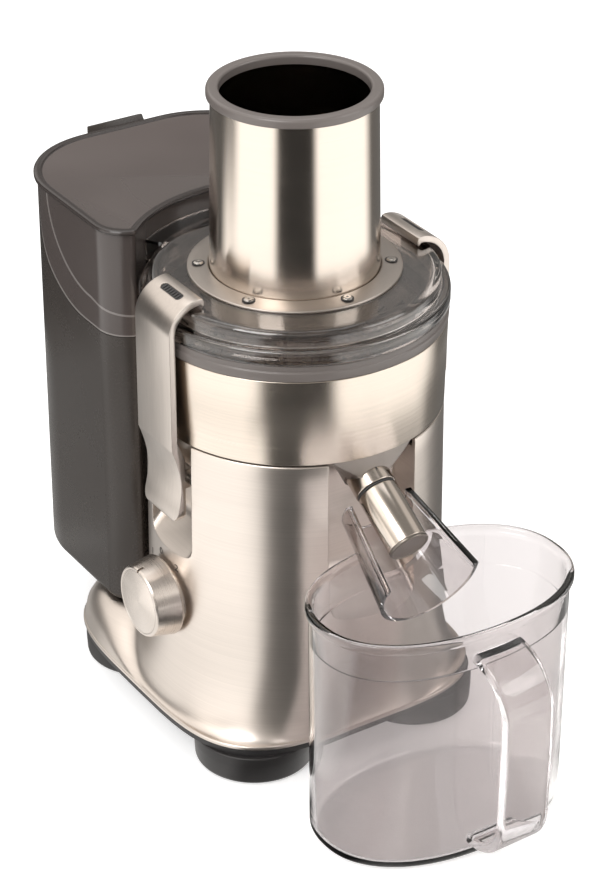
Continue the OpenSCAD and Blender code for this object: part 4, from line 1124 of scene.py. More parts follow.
def build_shell():
    """The cast body: plinth with its hollow flare, column, recesses and shelf."""
    sizes = chosen()
    turns = [TAU * k / SHELL_SEGMENTS for k in range(SHELL_SEGMENTS)]
    reach = [plinth_radius(t) for t in turns]
    shell = closed_tube("Body_Casting", shell_rings(turns, reach, sizes.edge_round))

    top = COLUMN_Z - DECK_T
    wide, narrow = RECESS_HALF + WALL, SCOOP_HALF + WALL
    walls = [prism("wall", pocket(-1, SPOUT_RECESS_WALL, top), -wide, wide, ALONG_X)]
    for side in (-1, 1):
        outline = pocket(side, CLAMP_SCOOP_WALL, top)
        walls.append(prism("wall", outline, -narrow, narrow, ALONG_Y))
    for wall in walls:
        combine(wall, [disc("inside", COLUMN_LINER_R, 80, 220)], "INTERSECT")
    at = moved(KNOB_BOSS_X, *KNOB_AT[1:]) @ turned(90, "Y")
    walls.append(disc("boss", KNOB_BOSS_R, 0, KNOB_BOSS_T, at))
    combine(shell, walls, "UNION")

    deep = pocket(-1, SPOUT_RECESS, ABOVE_COLUMN)
    cutters = [prism("recess", deep, -RECESS_HALF, RECESS_HALF, ALONG_X)]
    bevel(cutters[0], sizes.recess_round, 5)
    for side in (-1, 1):
        outline = pocket(side, CLAMP_SCOOP, ABOVE_COLUMN)
        scoop = prism("scoop", outline, -SCOOP_HALF, SCOOP_HALF, ALONG_Y)
        pin = moved(side * PIVOT[0], -PIN_HALF, PIVOT[1]) @ turned(-90, "X")
        cutters.append(bevel(scoop, sizes.recess_round, 5))
        cutters.append(disc("pin hole", PIN_HOLE_R, 0, 2 * PIN_HALF, pin, 32))
    cutters.append(prism("shelf", bin_outline(grow=0.3), SHELF_Z, 200))
    plan = []
    for turn, r in list(zip(turns, reach))[::2]:
        plan.append(((r - WALL) * math.cos(turn), (r - WALL) * math.sin(turn)))
    cutters.append(prism("cover room", plan, SKIRT_Z - 2, SKIRT_Z + 1))
    cutters.append(disc("knob room", KNOB_R + 1, 0, KNOB_LEN + 0.3, KNOB))
    cutters.append(disc("spindle hole", SPINDLE_HOLE_R, 0, SPINDLE_DEPTH, KNOB, 32))
    gland = moved(*GLAND_AT) @ turned(-90, "X")
    cutters.append(disc("gland hole", GLAND_R, 0, 40, gland, 48))
    combine(shell, cutters)
    finish_piece(tidy(shell), "power_unit", "casting", ("body_shell",))


def build_feet():
    """The four feet, each with a slight shoulder under the plinth."""
    low, high = span("foot_front_left")
    r, h = (high.x - low.x) / 2, high.z
    outline = [(0, 0, 0), (r - FOOT_TAPER, 0, 3), (r, FOOT_SHOULDER, 2), (r, h, 1), (0, h, 0)]
    for corner in ("front_left", "front_right", "rear_left", "rear_right"):
        low, high = span(f"foot_{corner}")
        at = moved((low.x + high.x) / 2, (low.y + high.y) / 2, 0)
        foot = turned_solid(f"Foot_{corner.title()}", rounded(outline, 4), at)
        finish_piece(foot, "power_unit", "rubber", (f"foot_{corner}",))


def build_bowl():
    """Filter bowl with its rim ring and gutter, the spout's boss and the steel band."""
    hub, step = BOWL_HUB_R, BAND_TOP + 0.1
    profile = [
        (hub, BAND_Z, 0), (BOWL_SEAT_R, BAND_Z, 1), (BOWL_SEAT_R, step, 0),
        (RING_R - 0.3, step, 1.0), (RING_R, BAND_TOP + 5.4, 2.5),
        (RING_R - 0.9, BAND_TOP + 6.2, 0.5), (RING_R - 0.5, RING_TOP, 1.4),
        (BOWL_INNER_R, RING_TOP, 0.8), (BOWL_INNER_R, GUTTER_Z + 1, 3),
        (BOWL_INNER_R - 1, GUTTER_Z, 3), (57, GUTTER_Z, 2), (52, GUTTER_Z + 5, 2),
        (hub + 2.4, GUTTER_Z + 4, 1), (hub + 2.4, 219.4, 0.3), (hub, 219.4, 0.3),
    ]
    bowl = lathe("Filter_Bowl", rounded(profile, 5), 180)
    boss = disc("Spout_Boss", 13.5, -26, 4, SPOUT)
    funnel = [
        (0, 187), (12.3, 187), (15.5, 191.5), (20.5, 197.5), (27.5, 204.5), (27.5, 207), (0, 207),
    ]
    combine(boss, [turned_solid("funnel", funnel, moved(0, SPOUT_ROOT[1], 0), 96)], "UNION")
    room = box("room", (-28.9, -87.4), (28.9, -58.3), 160, 212)
    inside = disc("inside", BOWL_SEAT_R - 0.2, 150, 212, segments=180)
    combine(boss, [room, inside], "INTERSECT")
    for solid in (bowl, boss):
        passage = disc("passage", SPOUT_BORE, -40, 20, SPOUT, 64)
        combine(solid, [passage, disc("socket", SPOUT_SOCKET_R, -6, 34, SPOUT, 64)])
    finish_piece(tidy(boss), "power_unit", "boss")
    finish_piece(tidy(bowl), "power_unit", "bowl", ("filter_bowl",))

    outline = [
        (BAND_INNER_R, BAND_Z, 0), (BAND_R, BAND_Z, 0.4),
        (BAND_TOP_R, BAND_TOP, 0.4), (BAND_INNER_R, BAND_TOP, 0),
    ]
    band = lathe("Steel_Band", rounded(outline, 3), 240)
    finish_piece(band, "power_unit", "band", ("steel_band",))


def build_chute():
    """Steel sleeve, collar with the top of its fin, and the bezel ring at the sleeve's foot."""
    low, high = LID_Z + 0.1, CHUTE_Z - COLLAR_H - 0.1
    outline = [(TUBE_R - 1, low), (TUBE_R, low), (TUBE_TOP_R, high), (TUBE_TOP_R - 1, high)]
    sleeve = lathe("Chute_Sleeve", outline, 240)
    finish_piece(sleeve, "power_unit", "sleeve", ("chute_sleeve",))

    low = CHUTE_Z - COLLAR_H + 0.05
    outline = [
        (CHUTE_R, low, 0), (COLLAR_R, low, 1), (COLLAR_R, CHUTE_Z, 2.2), (CHUTE_R, CHUTE_Z, 1.8),
    ]
    collar = lathe("Chute_Collar", rounded(outline, 6), 192)
    near, far = CHUTE_R - FIN_REACH, CHUTE_R + 1
    side = [(far, low, 0), (near, low, 0), (near, CHUTE_Z - 5, 2), (far, CHUTE_Z - 0.8, 0)]
    at = Matrix.Rotation(FIN_TURN, 4, "Z") @ ALONG_Y
    combine(collar, [prism("fin", rounded(side, 4), -FIN_HALF, FIN_HALF, at)], "UNION")
    finish_piece(tidy(collar), "power_unit", "ring", ("chute_collar",))

    low, inner = LID_Z + 0.1, TUBE_R + 0.3
    outline = [
        (inner, low, 0), (BEZEL_R, low, 0), (BEZEL_R, LID_Z + 1.4, 0.9),
        (TUBE_R + 1, LID_Z + 2.4, 0.5), (inner, LID_Z + 1.9, 0),
    ]
    bezel = lathe("Bezel_Ring", rounded(outline, 4), 192)
    finish_piece(bezel, "power_unit", "bezel", ("bezel_ring",))


def build_screws():
    """Bezel screws: domed heads with a drive recess, each in a dark seat."""
    r = chosen().screw_head
    head = [
        (0, 0.35, 0), (0.55, 0.35, 0), (0.75, 1.35, 0.1), (r - 0.9, 1.3, 0.3),
        (r, 0.75, 0.3), (r, 0, 0), (0, 0, 0),
    ]
    shape = turned_solid("screw", rounded(head, 3), TO_ORIGIN, 24)
    screws = repeat("Bezel_Screws", shape, "screw", SCREW_COUNT, SCREW_CIRCLE, SCREW_Z, 30)
    finish_piece(screws, "power_unit", "screw", ("bezel_screws",))

    # painted shade: a dark ring round each head where it meets the bezel, and a dark plug in its
    # drive recess
    near, far = r + 0.05, r + 0.75
    seat = rounded([(near, 0.05, 0), (far, 0.05, 0), (far, 0.5, 0.1), (near, 0.5, 0.1)], 2)
    plug = [(0, 0.4), (0.8, 0.4), (0.8, 1.0), (0, 1.0)]
    parts = [lathe("seat", seat, 24, TO_ORIGIN), turned_solid("plug", plug, TO_ORIGIN, 12)]
    shape = join("seat", parts)
    screw_shade_rings = repeat("Screw_Seats", shape, "dark", SCREW_COUNT, SCREW_CIRCLE, SCREW_Z, 30)
    finish_piece(screw_shade_rings, "power_unit", "dark")


def build_lid():
    """Smoked lid: rim, round shoulder, flat top, chute tube and the throat towards the hood."""
    tube, rim, seat = 45, RING_TOP + 0.1, 79.9
    profile = [
        (CHUTE_R, CHUTE_LOW, 0.5), (tube, CHUTE_LOW, 0.5), (tube, 285, 2), (78.6, 285, 4),
        (80.1, 281, 3),
        (seat, 275, 3), (seat, 263, 0.8), (82.5, 263, 0.8), (82.5, rim, 0.5), (LID_R, rim, 1.0),
        (LID_R, LID_RIM_TOP, 2.8), (83.7, LID_RIM_TOP, 1.2), (83.2, LID_Z - 0.2, 4.6),
        (76, LID_Z, 2), (tube, LID_Z, 0), (tube, CHUTE_Z - COLLAR_H, 0),
        (CHUTE_R, CHUTE_Z - COLLAR_H, 0),
    ]
    lid = lathe("Lid", rounded(profile, 5), 192)
    near, far = (CHUTE_R - FIN_REACH, -FIN_HALF), (CHUTE_R + 1, FIN_HALF)
    fin = box("fin", near, far, 235, CHUTE_Z - COLLAR_H, Matrix.Rotation(FIN_TURN, 4, "Z"))
    combine(lid, [sector("throat", *THROAT, THROAT_HALF), fin], "UNION")
    combine(lid, [sector("mouth", *THROAT_MOUTH, MOUTH_HALF)])
    finish_piece(tidy(lid), "power_unit", "lid", ("lid",), 35)


def lay_seam(skirt):
    """Two fine beads along the skirt's lower edge, let into the hood."""
    beads = []
    for outer, inner in SEAM_BEADS:
        for use in ("cut", "line"):
            bead = seam_block("bead", outer)
            core = prism("core", bin_outline(inset=0.45), 200, HOOD_Z + 20)
            combine(bead, [seam_block("core", inner), core])
            if use == "cut":
                combine(skirt, [bead])
        inside = prism("inside", bin_outline(inset=0.02), 200, HOOD_Z - 3.4)
        combine(bead, [inside, seam_block("room")], "INTERSECT")
        beads.append(bead)
    finish_piece(tidy(join("Hood_Seam", beads)), "power_unit", "seam")


def build_hood():
    """Hood over the bin: skirt with its curved seam and a top with a rolled edge."""
    heights = (SEAM_Z - 1, 250, 270, HOOD_Z - 2.4)
    hood = loft("Pulp_Hood", [bin_ring(0, 0, z) for z in heights])
    combine(hood, [loft("hollow", [bin_ring(BIN_T, 0, z) for z in (200, 260, HOOD_Z)])])
    combine(hood, [seam_block("seam")], "INTERSECT")
    lay_seam(hood)
    rings = [bin_ring(0.2, 0, HOOD_Z - 3.2)]
    rings += [bin_ring(0, grow, HOOD_Z + z) for grow, z in HOOD_ROLL_OUT]
    rings += [bin_ring(inset, 0, HOOD_Z + z) for inset, z in HOOD_ROLL_IN]
    combine(hood, [loft("top", rings)], "UNION")
    combine(hood, [sector("mouth", *HOOD_MOUTH, MOUTH_HALF)])
    finish_piece(tidy(hood), "power_unit", "hood", ("pulp_hood",))


def build_bin():
    """Pulp bin with its rounded foot and the thumb tab at the back."""
    low, top, r = SHELF_Z + 0.3, HOOD_Z - 3.5, chosen().bin_round
    rings = []
    for c, s in quarter((0, 15, 30, 45, 60, 75, 90)):
        rings.append(bin_ring(r * (1 - s), 0, low + r * (1 - c)))
    rings += [bin_ring(0, 0, z) for z in (110, 170, 231, top - 0.6)]
    rings += [bin_ring(0.5, 0, top), bin_ring(BIN_T - 0.4, 0, top)]
    rings += [bin_ring(BIN_T, 0, z) for z in (top - 0.5, 230, 140)]
    for c, s in quarter((90, 60, 30, 0)):
        rings.append(bin_ring(BIN_T + 4 * (1 - s), 0, low + BIN_T + 4 * (1 - c)))
    pulp_bin = loft("Pulp_Bin", rings)
    combine(pulp_bin, [seam_block("seam", 0.3)])

    # the tab from the side, out from the bin's back, and from above with its slanted ends
    side = [
        (-0.6, top - 26, 0), (3.4, top - 20, 2), (3.8, top - 6, 2), (7, top + 1, 2),
        (8.8, top + 4, 0.8), (6, top + 5, 0.8), (5, top + 1.2, 1), (2.2, top + 1.2, 0.4),
        (2.2, top, 0.3), (-0.6, top, 0),
    ]
    side = [(y + BIN_BACK, z, radius) for y, z, radius in side]
    tab = prism("tab", rounded(side, 3), -24, 24, ALONG_X)
    near, far = BIN_BACK - 4, BIN_BACK + 9
    plan = rounded([(-26, near, 0), (24, near, 0), (15, far, 6), (-20, far, 6)], 6)
    combine(tab, [prism("plan", plan, 200, HOOD_Z + 20)], "INTERSECT")
    bevel(tab, 0.6, 2, 60)
    combine(pulp_bin, [tab], "UNION")
    finish_piece(tidy(pulp_bin), "bin", "bin", ("pulp_bin",))


def mirrored(obj):
    """Turns a right-hand piece into the left-hand one."""
    flip = Matrix.Translation(SPIN) @ Matrix.Scale(-1, 4, (1, 0, 0)) @ Matrix.Translation(-SPIN)
    obj.data.transform(flip)
    return tidy(obj)


def stadium(half_wide, half_long, radius, steps):
    """A slot's outline, long along the local Y axis."""
    w, h = half_wide, half_long
    corners = [(-w, -h, radius), (w, -h, radius), (w, h, radius), (-w, h, radius)]
    return rounded(corners, steps)


def clamp_arm(name):
    """The right-hand arm with its knuckle, the pin's bore and the slot for the pad."""
    across = turned(-90, "X")
    x, z = PIVOT
    arm = prism(name, clamp_side(), -CLAMP_W / 2 - 1, CLAMP_W / 2 + 1, ALONG_Y)
    combine(arm, [prism("outline", clamp_outline(), 40, 110, ALONG_X)], "INTERSECT")
    bevel(arm, chosen().clamp_round, 3, 50)
    half, r = KNUCKLE_HALF, KNUCKLE_R
    knuckle = disc("knuckle", r, 0, 2 * half, moved(x, -half, z) @ across, 48)
    combine(knuckle, [box("web", (x, -half), (86.5, half), z - r, z + r)], "UNION")
    combine(arm, [knuckle], "UNION")
    slot = prism("slot", stadium(2.5, 10.5, 2.4, 6), CLAMP_BEND - 1.6, CLAMP_BEND + 3, CROWN)
    bore = disc("bore", PIN_HOLE_R - 0.04, 0, 60, moved(x, -30, z) @ across, 48)
    return combine(arm, [slot, bore])


def clamp_pad(name):
    """The ribbed pad let into the crown of the right-hand arm."""
    outline = stadium(2.3, 10.3, 2.2, 5)
    pad = prism(name, outline, CLAMP_BEND - 1.55, CLAMP_BEND - 0.5, CROWN)
    for i in range(PAD_RIBS):
        y = -8.2 + PAD_PITCH * i
        groove = box("groove", (-1.7, y), (1.7, y + 0.9), CLAMP_BEND - 1.0, CLAMP_BEND + 1, CROWN)
        combine(pad, [groove])
    return pad


def build_clamps():
    """Both clamps: one-piece arms with a ribbed pad let into the crown of the bend."""
    for side in ("left", "right"):
        body = f"{side}_clamp"
        arm, pad = clamp_arm(f"{side.title()}_Clamp"), clamp_pad(f"{side.title()}_Clamp_Pad")
        if side == "left":
            mirrored(arm)
            mirrored(pad)
        finish_piece(arm, body, "clamp", (body,), 35)
        finish_piece(pad, body, "dark", (f"{body}_pad",))


def bake_text(lettering):
    """The mesh of a text object, which is removed."""
    bpy.context.view_layer.update()
    graph = bpy.context.evaluated_depsgraph_get()
    mesh = bpy.data.meshes.new_from_object(lettering.evaluated_get(graph))
    bpy.data.objects.remove(lettering)
    return mesh


def dial_number(digit, turn):
    """One number of the dial, laid on the column beside the knob."""
    y = KNOB_AT[1] + DIAL_R * math.sin(math.radians(turn))
    z = KNOB_AT[2] + DIAL_R * math.cos(math.radians(turn))
    text = bpy.data.curves.new("digit", "FONT")
    text.body, text.size, text.extrude = digit, DIGIT_SIZE * MM, 0.35 * MM
    text.align_x, text.align_y = "CENTER", "CENTER"
    number = bake_text(link("digit", text))
    for v in number.vertices:
        across, up, out = v.co.x / MM * DIGIT_WIDEN, v.co.y / MM, v.co.z / MM
        side = y - across
        sink = 0.02 + 0.15 * (out > 0) - 0.1 * (out < 0)
        x = -math.sqrt(column_radius(z + up) ** 2 - side * side) - sink
        v.co = Vector((x, side, z + up)) * MM + SPIN
    return link("digit", number)


def build_knob():
    """Speed knob with its spun face, and the dial's numbers on the column."""
    rim, r, end = KNOB_FACE_R, KNOB_R, KNOB_LEN
    recess, floor = rim - 1.9, 1.2
    profile = rounded([
        (0, floor, 0), (recess, floor, 0), (recess, 0.1, 0.1), (rim - 0.5, 0.1, 0.4),
        (rim + 0.2, 1.2, 0.5), (r, end - 1, 1.2), (r - 0.6, end, 0.3), (SPINDLE_R, end, 0),
        (SPINDLE_R, SPINDLE_DEPTH - 4, 0), (0, SPINDLE_DEPTH - 4, 0),
    ], 4)
    knob = turned_solid("Speed_Knob", profile, KNOB, 180)
    notch = box("notch", (rim - 2.6, -0.8), (rim + 3, 0.8), -1, 4.5, KNOB @ turned(180, "Z"))
    combine(knob, [notch])
    finish_piece(tidy(knob), "knob", "knob_side", ("speed_knob",))
    outer = recess - 0.08
    plate = rounded([(0, 0.12, 0), (outer, 0.12, 0.1), (outer, 1.15, 0), (0, 1.15, 0)], 3)
    face = turned_solid("Knob_Face", plate, KNOB, 180)
    finish_piece(face, "knob", "knob_face", ("knob_cap",))
    numbers = join("Dial_Numbers", [dial_number(*digit) for digit in DIGITS])
    finish_piece(tidy(numbers), "power_unit", "ink")


def with_outlet(tube):
    """Cuts the outlet hole on the underside of the spout."""
    at = SPOUT @ moved(0, 0, OUTLET_AT) @ turned(90, "X")
    return tidy(combine(tube, [disc("outlet", OUTLET_R, 0, 20, at, 48)]))


def build_spout():
    """Drip-stop spout: fixed pipe with its mark, black ring, turning sleeve and its cap."""
    bore, root, neck, step = SPOUT_BORE, PIPE_R, PIPE_NECK_R, PIPE_SHOULDER
    outline = rounded([
        (bore, -6, 0), (root, -6, 0), (root, step - 0.8, 0), (root, step, 0.5), (neck, step, 0),
        (neck, PIPE_END, 0.4), (bore, PIPE_END, 0),
    ], 4)
    pipe = with_outlet(lathe("Spout_Pipe", outline, 128, SPOUT))
    finish_piece(pipe, "power_unit", "spout", ("spout_pipe",))
    stroke = rounded([(-0.5, 4.6, 0.4), (0.5, 4.6, 0.4), (0.5, 11, 0.4), (-0.5, 11, 0.4)], 3)
    on_top = SPOUT @ ALONG_Y @ Matrix.Scale(-1, 4, (0, 0, 1))
    mark = prism("Spout_Mark", stroke, root - 0.2, root + 0.08, on_top)
    finish_piece(mark, "power_unit", "ink")

    near, far, low, high = neck + 0.05, SLEEVE_R - 0.3, step + 0.1, SLEEVE_FROM - 0.3
    outline = rounded([(near, low, 0), (far, low, 0.5), (far, high, 0.5), (near, high, 0)], 3)
    ring = lathe("Spout_Ring", outline, 96, SPOUT)
    finish_piece(ring, "power_unit", "dark", ("spout_ring",))

    near, far, start, end = SLEEVE_BORE, SLEEVE_R, SLEEVE_FROM, SLEEVE_TO
    outline = rounded([
        (near, start, 0), (far, start, 0.5), (far, 33, 0), (far, end, 0.3), (near, end, 0),
    ], 4)
    sleeve = with_outlet(lathe("Spout_Sleeve", outline, 128, SPOUT))
    finish_piece(sleeve, "spout_tip", "spout", ("spout_sleeve",))
    plug = SLEEVE_BORE - 0.1
    outline = rounded([
        (0, 53.6, 0), (plug, 53.6, 0.2), (plug, end, 0), (far, end, 0.3), (far, CAP_TO, 0.8),
        (10.6, CAP_TO, 0.3), (10.2, CAP_TO - 0.4, 0.3), (0, CAP_TO - 0.4, 0),
    ], 4)
    cap = turned_solid("Spout_Cap", outline, SPOUT, 128)
    finish_piece(cap, "spout_tip", "spout_cap", ("spout_cap",))


def build_jug():
    """Clear jug with its rim bead, handle and froth guard, moulded in one."""
    r, inner = chosen().jug_round, JUG_T
    rings = []
    for c, s in quarter(range(0, 91, 15)):
        rings.append(jug_ring(r * (1 - s), r * (1 - c)))
    rings += [jug_ring(0, z) for z in (40, 80, 120, 145.2)]
    rings += [jug_ring(-grow, z) for grow, z in JUG_BEAD]
    rings += [jug_ring(inset, z) for inset, z in JUG_LINING]
    for c, s in quarter((90, 70, 50, 30, 15, 0)):
        rings.append(jug_ring(inner + (r - 1) * (1 - s), JUG_FLOOR + (r - 1) * (1 - c)))
    jug = loft("Juice_Jug", rings)
    combine(jug, [guard_cone(-0.1)])

    guard, hollow = guard_cone(0), guard_cone(2.6, 2)
    combine(hollow, [guard_room(2.4)])
    combine(guard, [guard_cone(3.8, 2), hollow, guard_room(6)])
    bevel(guard, 0.8, 3, 60)
    at = moved(JUG_X, JUG_Y, 0) @ Matrix.Rotation(HANDLE_TURN, 4, "Z") @ ALONG_Y
    handle = prism("handle", handle_side(0), -HANDLE_HALF, HANDLE_HALF, at)
    combine(handle, [prism("grip", handle_side(HANDLE_T), -20, 20, at)])
    bevel(handle, 2.0, 4, 50)
    combine(handle, [loft("inside", [jug_ring(1.2, z) for z in (-2, 9, 60, 120, 160)])])
    combine(jug, [guard, handle], "UNION")
    replaced = ("juice_jug", "jug_handle", "froth_guard")
    finish_piece(tidy(jug), "jug", "jug", replaced, 35)


def build_grating():
    """Grating disc with rings of raised teeth and three centre holes."""
    sizes = chosen()
    high, rows = sizes.tooth_high, sizes.tooth_rows
    top = span("grating_disc")[1].z - high
    low, bore, edge = top - GRATING_T, GRATING_BORE, GRATING_R
    outline = rounded([(bore, low, 0), (edge, low, 0.3), (edge, top, 0.4), (bore, top, 0.3)], 3)
    plate = lathe("Grating_Disc", outline, 144)
    for k in range(3):
        turn = math.radians(120 * k)
        at = moved(CENTRE_HOLE_CIRCLE * math.cos(turn), CENTRE_HOLE_CIRCLE * math.sin(turn), 0)
        combine(plate, [disc("hole", CENTRE_HOLE_R, top - 4, top + 4, at, 32)])
    parts = [plate]
    for row in range(rows):
        circle = TEETH_FROM + (TEETH_TO - TEETH_FROM) * row / (rows - 1)
        count = TEETH_INNERMOST + TEETH_MORE * row
        raked = [(-1.6, -0.4), (1.0, -0.4), (1.15, high), (0.85, high), (-1.2, 0.2)]
        tooth = prism("tooth", raked, -1.0, 1.0, TO_ORIGIN @ ALONG_X)
        parts.append(repeat(f"Teeth_{row}", tooth, "bright", count, circle, top,
                            start=11.0 * row, skew=6.0, seed=row + 3))
    grating = join("Grating", parts)
    finish_piece(grating, "drive", "bright", ("grating_disc",))


# the finish of each piece that keeps its own mesh
INSIDES = {
    "bright": ["sieve", "basket_rim", "motor_shaft", "cover_screws", "upper_bearing",
               "lower_bearing", "left_clamp_pin", "right_clamp_pin"],
    "dark": ["base_cover", "cord_gland", "top_deck", "shaft_seal", "lid_seal", "drive_coupling",
             "basket_hub", "speed_switch", "lock_switches"],
    "core": ["stator", "armature"],
    "copper": ["stator_coils", "commutator"],
    "board": ["control_board"],
    "brush": ["brush_gear"],
    "white": ["cooling_fan"],
    "casting": ["motor_bracket", "lower_bracket"],
}


def build_insides():
    """Finishes for the pieces that keep their own mesh."""
    for finish, nodes in INSIDES.items():
        for node in nodes:
            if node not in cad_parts:
                raise RuntimeError(f"no piece named {node}")
            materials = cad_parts[node].data.materials
            materials.clear()
            materials.append(FINISH[finish])
    left = [name for name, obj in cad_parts.items() if not obj.data.materials]
    if left:
        raise RuntimeError(f"no finish for {left}")


# ---- stage -------------------------------------------------------------------------

# what metal mirrors of the floor: dark panels, each from near to far in metres from the axis,
# from one bearing to another in degrees, with its softness in degrees and its depth
PANELS = (
    (0.10, 0.42, -21.0, 13.0, 4.0, 0.95),
    (0.10, 0.42, 13.0, 48.0, 6.0, 0.66),
    (0.10, 0.42, 60.0, 104.0, 6.0, 0.72),
    (0.05, 0.24, -98.0, -21.0, 8.0, 0.30),
    (0.10, 0.25, -150.0, -98.0, 8.0, 0.70),
    (0.42, 0.52, -33.0, 31.0, 4.0, 0.985),
    (0.42, 0.52, -85.0, -33.0, 6.0, 0.42),
    (0.42, 0.52, 45.0, 62.0, 6.0, 0.30),
    (0.25, 0.52, -170.0, -97.0, 10.0, 0.70),
    (0.52, 20.0, -24.0, 27.0, 4.0, 0.985),
    (0.52, 0.85, -170.0, -107.0, 7.0, 0.95),
    (0.85, 20.0, -170.0, -82.0, 6.0, 0.93),
    (0.10, 0.52, 104.0, 172.0, 9.0, 0.90),
    (0.52, 20.0, 113.0, 172.0, 8.0, 0.90),
)
PANEL_SOFT = 0.02
GLOSSY_FLOOR = 1.68
GLOSSY_FLOOR_TINT = (1.0, 0.98, 0.95, 1)
FLOOR_CLOTH = (0.82, 0.81, 0.80, 1)
FLOOR_LIFT = 0.48
FLOOR_HALF = 6.0
FLOOR_Z = -0.0004

# what metal mirrors of the room: soft boxes, each between two sines of the elevation and two
# bearings in degrees, with its softness in degrees and its brightness over the studio's level
SOFT_BOXES = (
    (-1.00, 0.30, -165.0, -88.0, 8.0, -0.22),
    (0.30, 0.95, -165.0, -60.0, 12.0, 1.0),
    (0.42, 0.80, -75.0, 175.0, 10.0, 0.50),
    (-0.10, 0.12, -82.0, -16.0, 8.0, 1.7),
    (0.12, 0.56, -82.0, -16.0, 8.0, 0.50),
    (0.62, 0.90, -80.0, -20.0, 12.0, 1.0),
    (0.02, 0.55, 40.0, 96.0, 8.0, 0.9),
)
BOX_SOFT = 0.04
STUDIO_LEVEL = 0.30
STUDIO_TINT = (1.0, 0.955, 0.905, 1)
WHITE = (1, 1, 1, 1)

CAMERA_BACK = 1.7575
CAMERA_DOWN = math.radians(29.79)
CAMERA_LENS = 120.8
CAMERA_RIGHT = 0.0029
CAMERA_AIM_Z = 0.1687

# name, width and height in metres, watts, place
LAMPS = (
    ("Key_Lamp", 1.2, 1.2, 22, (-1.6, -0.7, 1.9)),
    ("Fill_Lamp", 1.4, 1.0, 10, (1.5, -1.6, 1.4)),
    ("Top_Lamp", 1.6, 1.6, 10, (0.2, 0.6, 2.4)),
)
LAMP_AIM_Z = 0.18


def stage_floor():
    """White floor that keeps the soft shadow; its glossy side carries the darker studio panels."""
    made, w = blank_material("Studio Floor")
    away = w.vector("SUBTRACT", w.place(), tuple(SPIN))
    far, angle = w.vector("LENGTH", away), w.bearing(away)
    light = 1.0
    for near, end, left, right, soft, depth in PANELS:
        panel = w.window(far, near, end, PANEL_SOFT)
        panel = w.math("MULTIPLY", panel, w.window(angle, left, right, soft))
        kept = w.math("SUBTRACT", 1.0, w.math("MULTIPLY", panel, depth))
        light = w.math("MULTIPLY", light, kept)
    seen, mirrored_only = w.rays()
    lifted = {"Strength": w.math("MULTIPLY", seen, FLOOR_LIFT)}
    glowing = {"Strength": w.math("MULTIPLY", light, GLOSSY_FLOOR), "Color": GLOSSY_FLOOR_TINT}
    cloth = w.step("ShaderNodeBsdfDiffuse", {"Color": FLOOR_CLOTH})
    plain = w.step("ShaderNodeAddShader", {0: cloth, 1: w.step("ShaderNodeEmission", lifted)})
    mirror = w.step("ShaderNodeEmission", glowing)
    both = w.step("ShaderNodeMixShader", {0: mirrored_only, 1: plain, 2: mirror})
    w.feed(w.node("ShaderNodeOutputMaterial"), "Surface", both)

    mesh = bpy.data.meshes.new("Floor")
    corners = ((-1, -1), (1, -1), (1, 1), (-1, 1))
    points = [(x * FLOOR_HALF, y * FLOOR_HALF, FLOOR_Z) for x, y in corners]
    mesh.from_pydata(points, [], [(0, 1, 2, 3)])
    floor = link("Floor", mesh)
    floor.data.materials.append(made)


def stage_world():
    """White behind the juicer; what metal sees of it is a dim studio with bright soft boxes."""
    world = bpy.data.worlds.new("Studio")
    bpy.context.scene.world = world
    world.use_nodes = True
    world.node_tree.nodes.clear()
    w = Wiring(world.node_tree)
    way = w.node("ShaderNodeTexCoord").outputs["Generated"]
    up, angle = w.vector("DOT_PRODUCT", way, (0, 0, 1)), w.bearing(way)
    mirror = STUDIO_LEVEL
    for low, high, left, right, soft, bright in SOFT_BOXES:
        inside = w.window(up, low, high, BOX_SOFT)
        inside = w.math("MULTIPLY", inside, w.window(angle, left, right, soft))
        mirror = w.math("ADD", mirror, w.math("MULTIPLY", inside, bright))
    seen, mirrored_only = w.rays()
    plain = w.spread(up, 0.0, 0.9, 0.62, 0.95)
    glow = {
        "Color": w.mix(mirrored_only, WHITE, STUDIO_TINT),
        "Strength": w.mix_levels(seen, w.mix_levels(mirrored_only, plain, mirror), 1.0),
    }
    background = w.step("ShaderNodeBackground", glow)
    w.feed(w.node("ShaderNodeOutputWorld"), "Surface", background)


def stage_lamp(name, wide, high, watts, at):
    """A soft lamp aimed at the juicer's middle."""
    lamp = bpy.data.lights.new(name, "AREA")
    lamp.shape, lamp.size, lamp.size_y, lamp.energy = "RECTANGLE", wide, high, watts
    obj = link(name, lamp)
    aim = Vector((SPIN.x, SPIN.y, LAMP_AIM_Z)) - Vector(at)
    obj.location = at
    obj.rotation_euler = aim.to_track_quat("-Z", "Y").to_euler()


def stage_camera():
    """The camera, level with its side-to-side axis and looking down at the front corner."""
    right = Vector((LOOK_Y, -LOOK_X, 0))
    level = math.cos(CAMERA_DOWN)
    view = Vector((LOOK_X * level, LOOK_Y * level, -math.sin(CAMERA_DOWN)))
    aim = SPIN + right * CAMERA_RIGHT + Vector((0, 0, CAMERA_AIM_Z))
    lens = bpy.data.cameras.new("Camera")
    lens.lens, lens.sensor_width = CAMERA_LENS, 36
    lens.clip_start, lens.clip_end = 0.1, 30
    camera = link("Camera", lens)
    camera.location = aim - view * CAMERA_BACK
    camera.rotation_euler = view.to_track_quat("-Z", "Y").to_euler()
    bpy.context.scene.camera = camera


def build_stage():
    """Floor, soft light and the camera."""
    bpy.context.scene.view_settings.view_transform = "Standard"
    stage_floor()
    stage_world()
    for lamp in LAMPS:
        stage_lamp(*lamp)
    stage_camera()


# ---- operators, panel and registration ------------------------------------------------

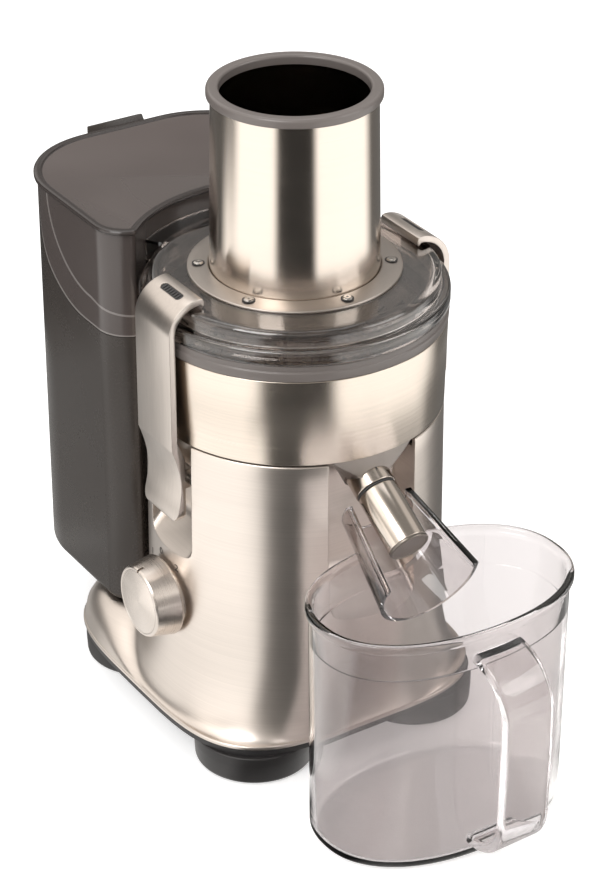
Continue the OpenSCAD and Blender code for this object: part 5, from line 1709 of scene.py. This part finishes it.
STEPS = (
    ("shell", "Body casting", build_shell),
    ("feet", "Feet", build_feet),
    ("bowl", "Filter bowl and band", build_bowl),
    ("chute", "Feed chute", build_chute),
    ("screws", "Bezel screws", build_screws),
    ("lid", "Lid", build_lid),
    ("hood", "Pulp hood", build_hood),
    ("bin", "Pulp bin", build_bin),
    ("clamps", "Clamps", build_clamps),
    ("knob", "Speed knob and dial", build_knob),
    ("spout", "Drip-stop spout", build_spout),
    ("jug", "Juice jug", build_jug),
    ("grating", "Grating disc", build_grating),
    ("insides", "Inner pieces", build_insides),
    ("stage", "Stage", build_stage),
)


class JUICER_OT_finishes(bpy.types.Operator):
    """Makes the shared shader groups and every finish"""

    bl_idname = "juicer.finishes"
    bl_label = "Finishes"

    def execute(self, context):
        """Runs once, before any piece."""
        brush_lines_group()
        handling_group()
        moulded_grain_group()
        make_finishes(context.scene.juicer_colours)
        return {"FINISHED"}


def step_operator(key, label, build):
    """The operator for one piece or group of like pieces."""

    def execute(self, context):
        """Builds the piece."""
        build()
        return {"FINISHED"}

    parts = {
        "bl_idname": f"juicer.{key}",
        "bl_label": label,
        "__doc__": build.__doc__,
        "execute": execute,
    }
    return type(f"JUICER_OT_{key}", (bpy.types.Operator,), parts)


class JUICER_PT_panel(bpy.types.Panel):
    """Sizes, colours and steps of the juicer"""

    bl_idname = "JUICER_PT_panel"
    bl_label = "Juicer"
    bl_space_type = "VIEW_3D"
    bl_region_type = "UI"
    bl_category = "Juicer"

    def draw(self, context):
        """Lists the sizes and colours, then a button for each step."""
        layout = self.layout
        for group in (context.scene.juicer_sizes, context.scene.juicer_colours):
            column = layout.column(align=True)
            for key in group.bl_rna.properties.keys():
                if key not in ("rna_type", "name"):
                    column.prop(group, key)
        column = layout.column(align=True)
        column.operator("juicer.finishes")
        for key, _, _ in STEPS:
            column.operator(f"juicer.{key}")


OPERATORS = [step_operator(*step) for step in STEPS]
CLASSES = [JuicerSizes, JuicerColours, JUICER_OT_finishes, *OPERATORS, JUICER_PT_panel]


def register():
    """Adds the classes and the scene's sizes and colours."""
    for made in CLASSES:
        bpy.utils.register_class(made)
    bpy.types.Scene.juicer_sizes = bpy.props.PointerProperty(type=JuicerSizes)
    bpy.types.Scene.juicer_colours = bpy.props.PointerProperty(type=JuicerColours)


def unregister():
    """Takes them away again."""
    del bpy.types.Scene.juicer_colours
    del bpy.types.Scene.juicer_sizes
    for made in reversed(CLASSES):
        bpy.utils.unregister_class(made)


def main():
    """Builds the whole juicer and notes its size beside the frame's."""
    register()
    bpy.ops.juicer.finishes()
    for key, _, _ in STEPS:
        getattr(bpy.ops.juicer, key)()


if __name__ == "__main__":
    main()
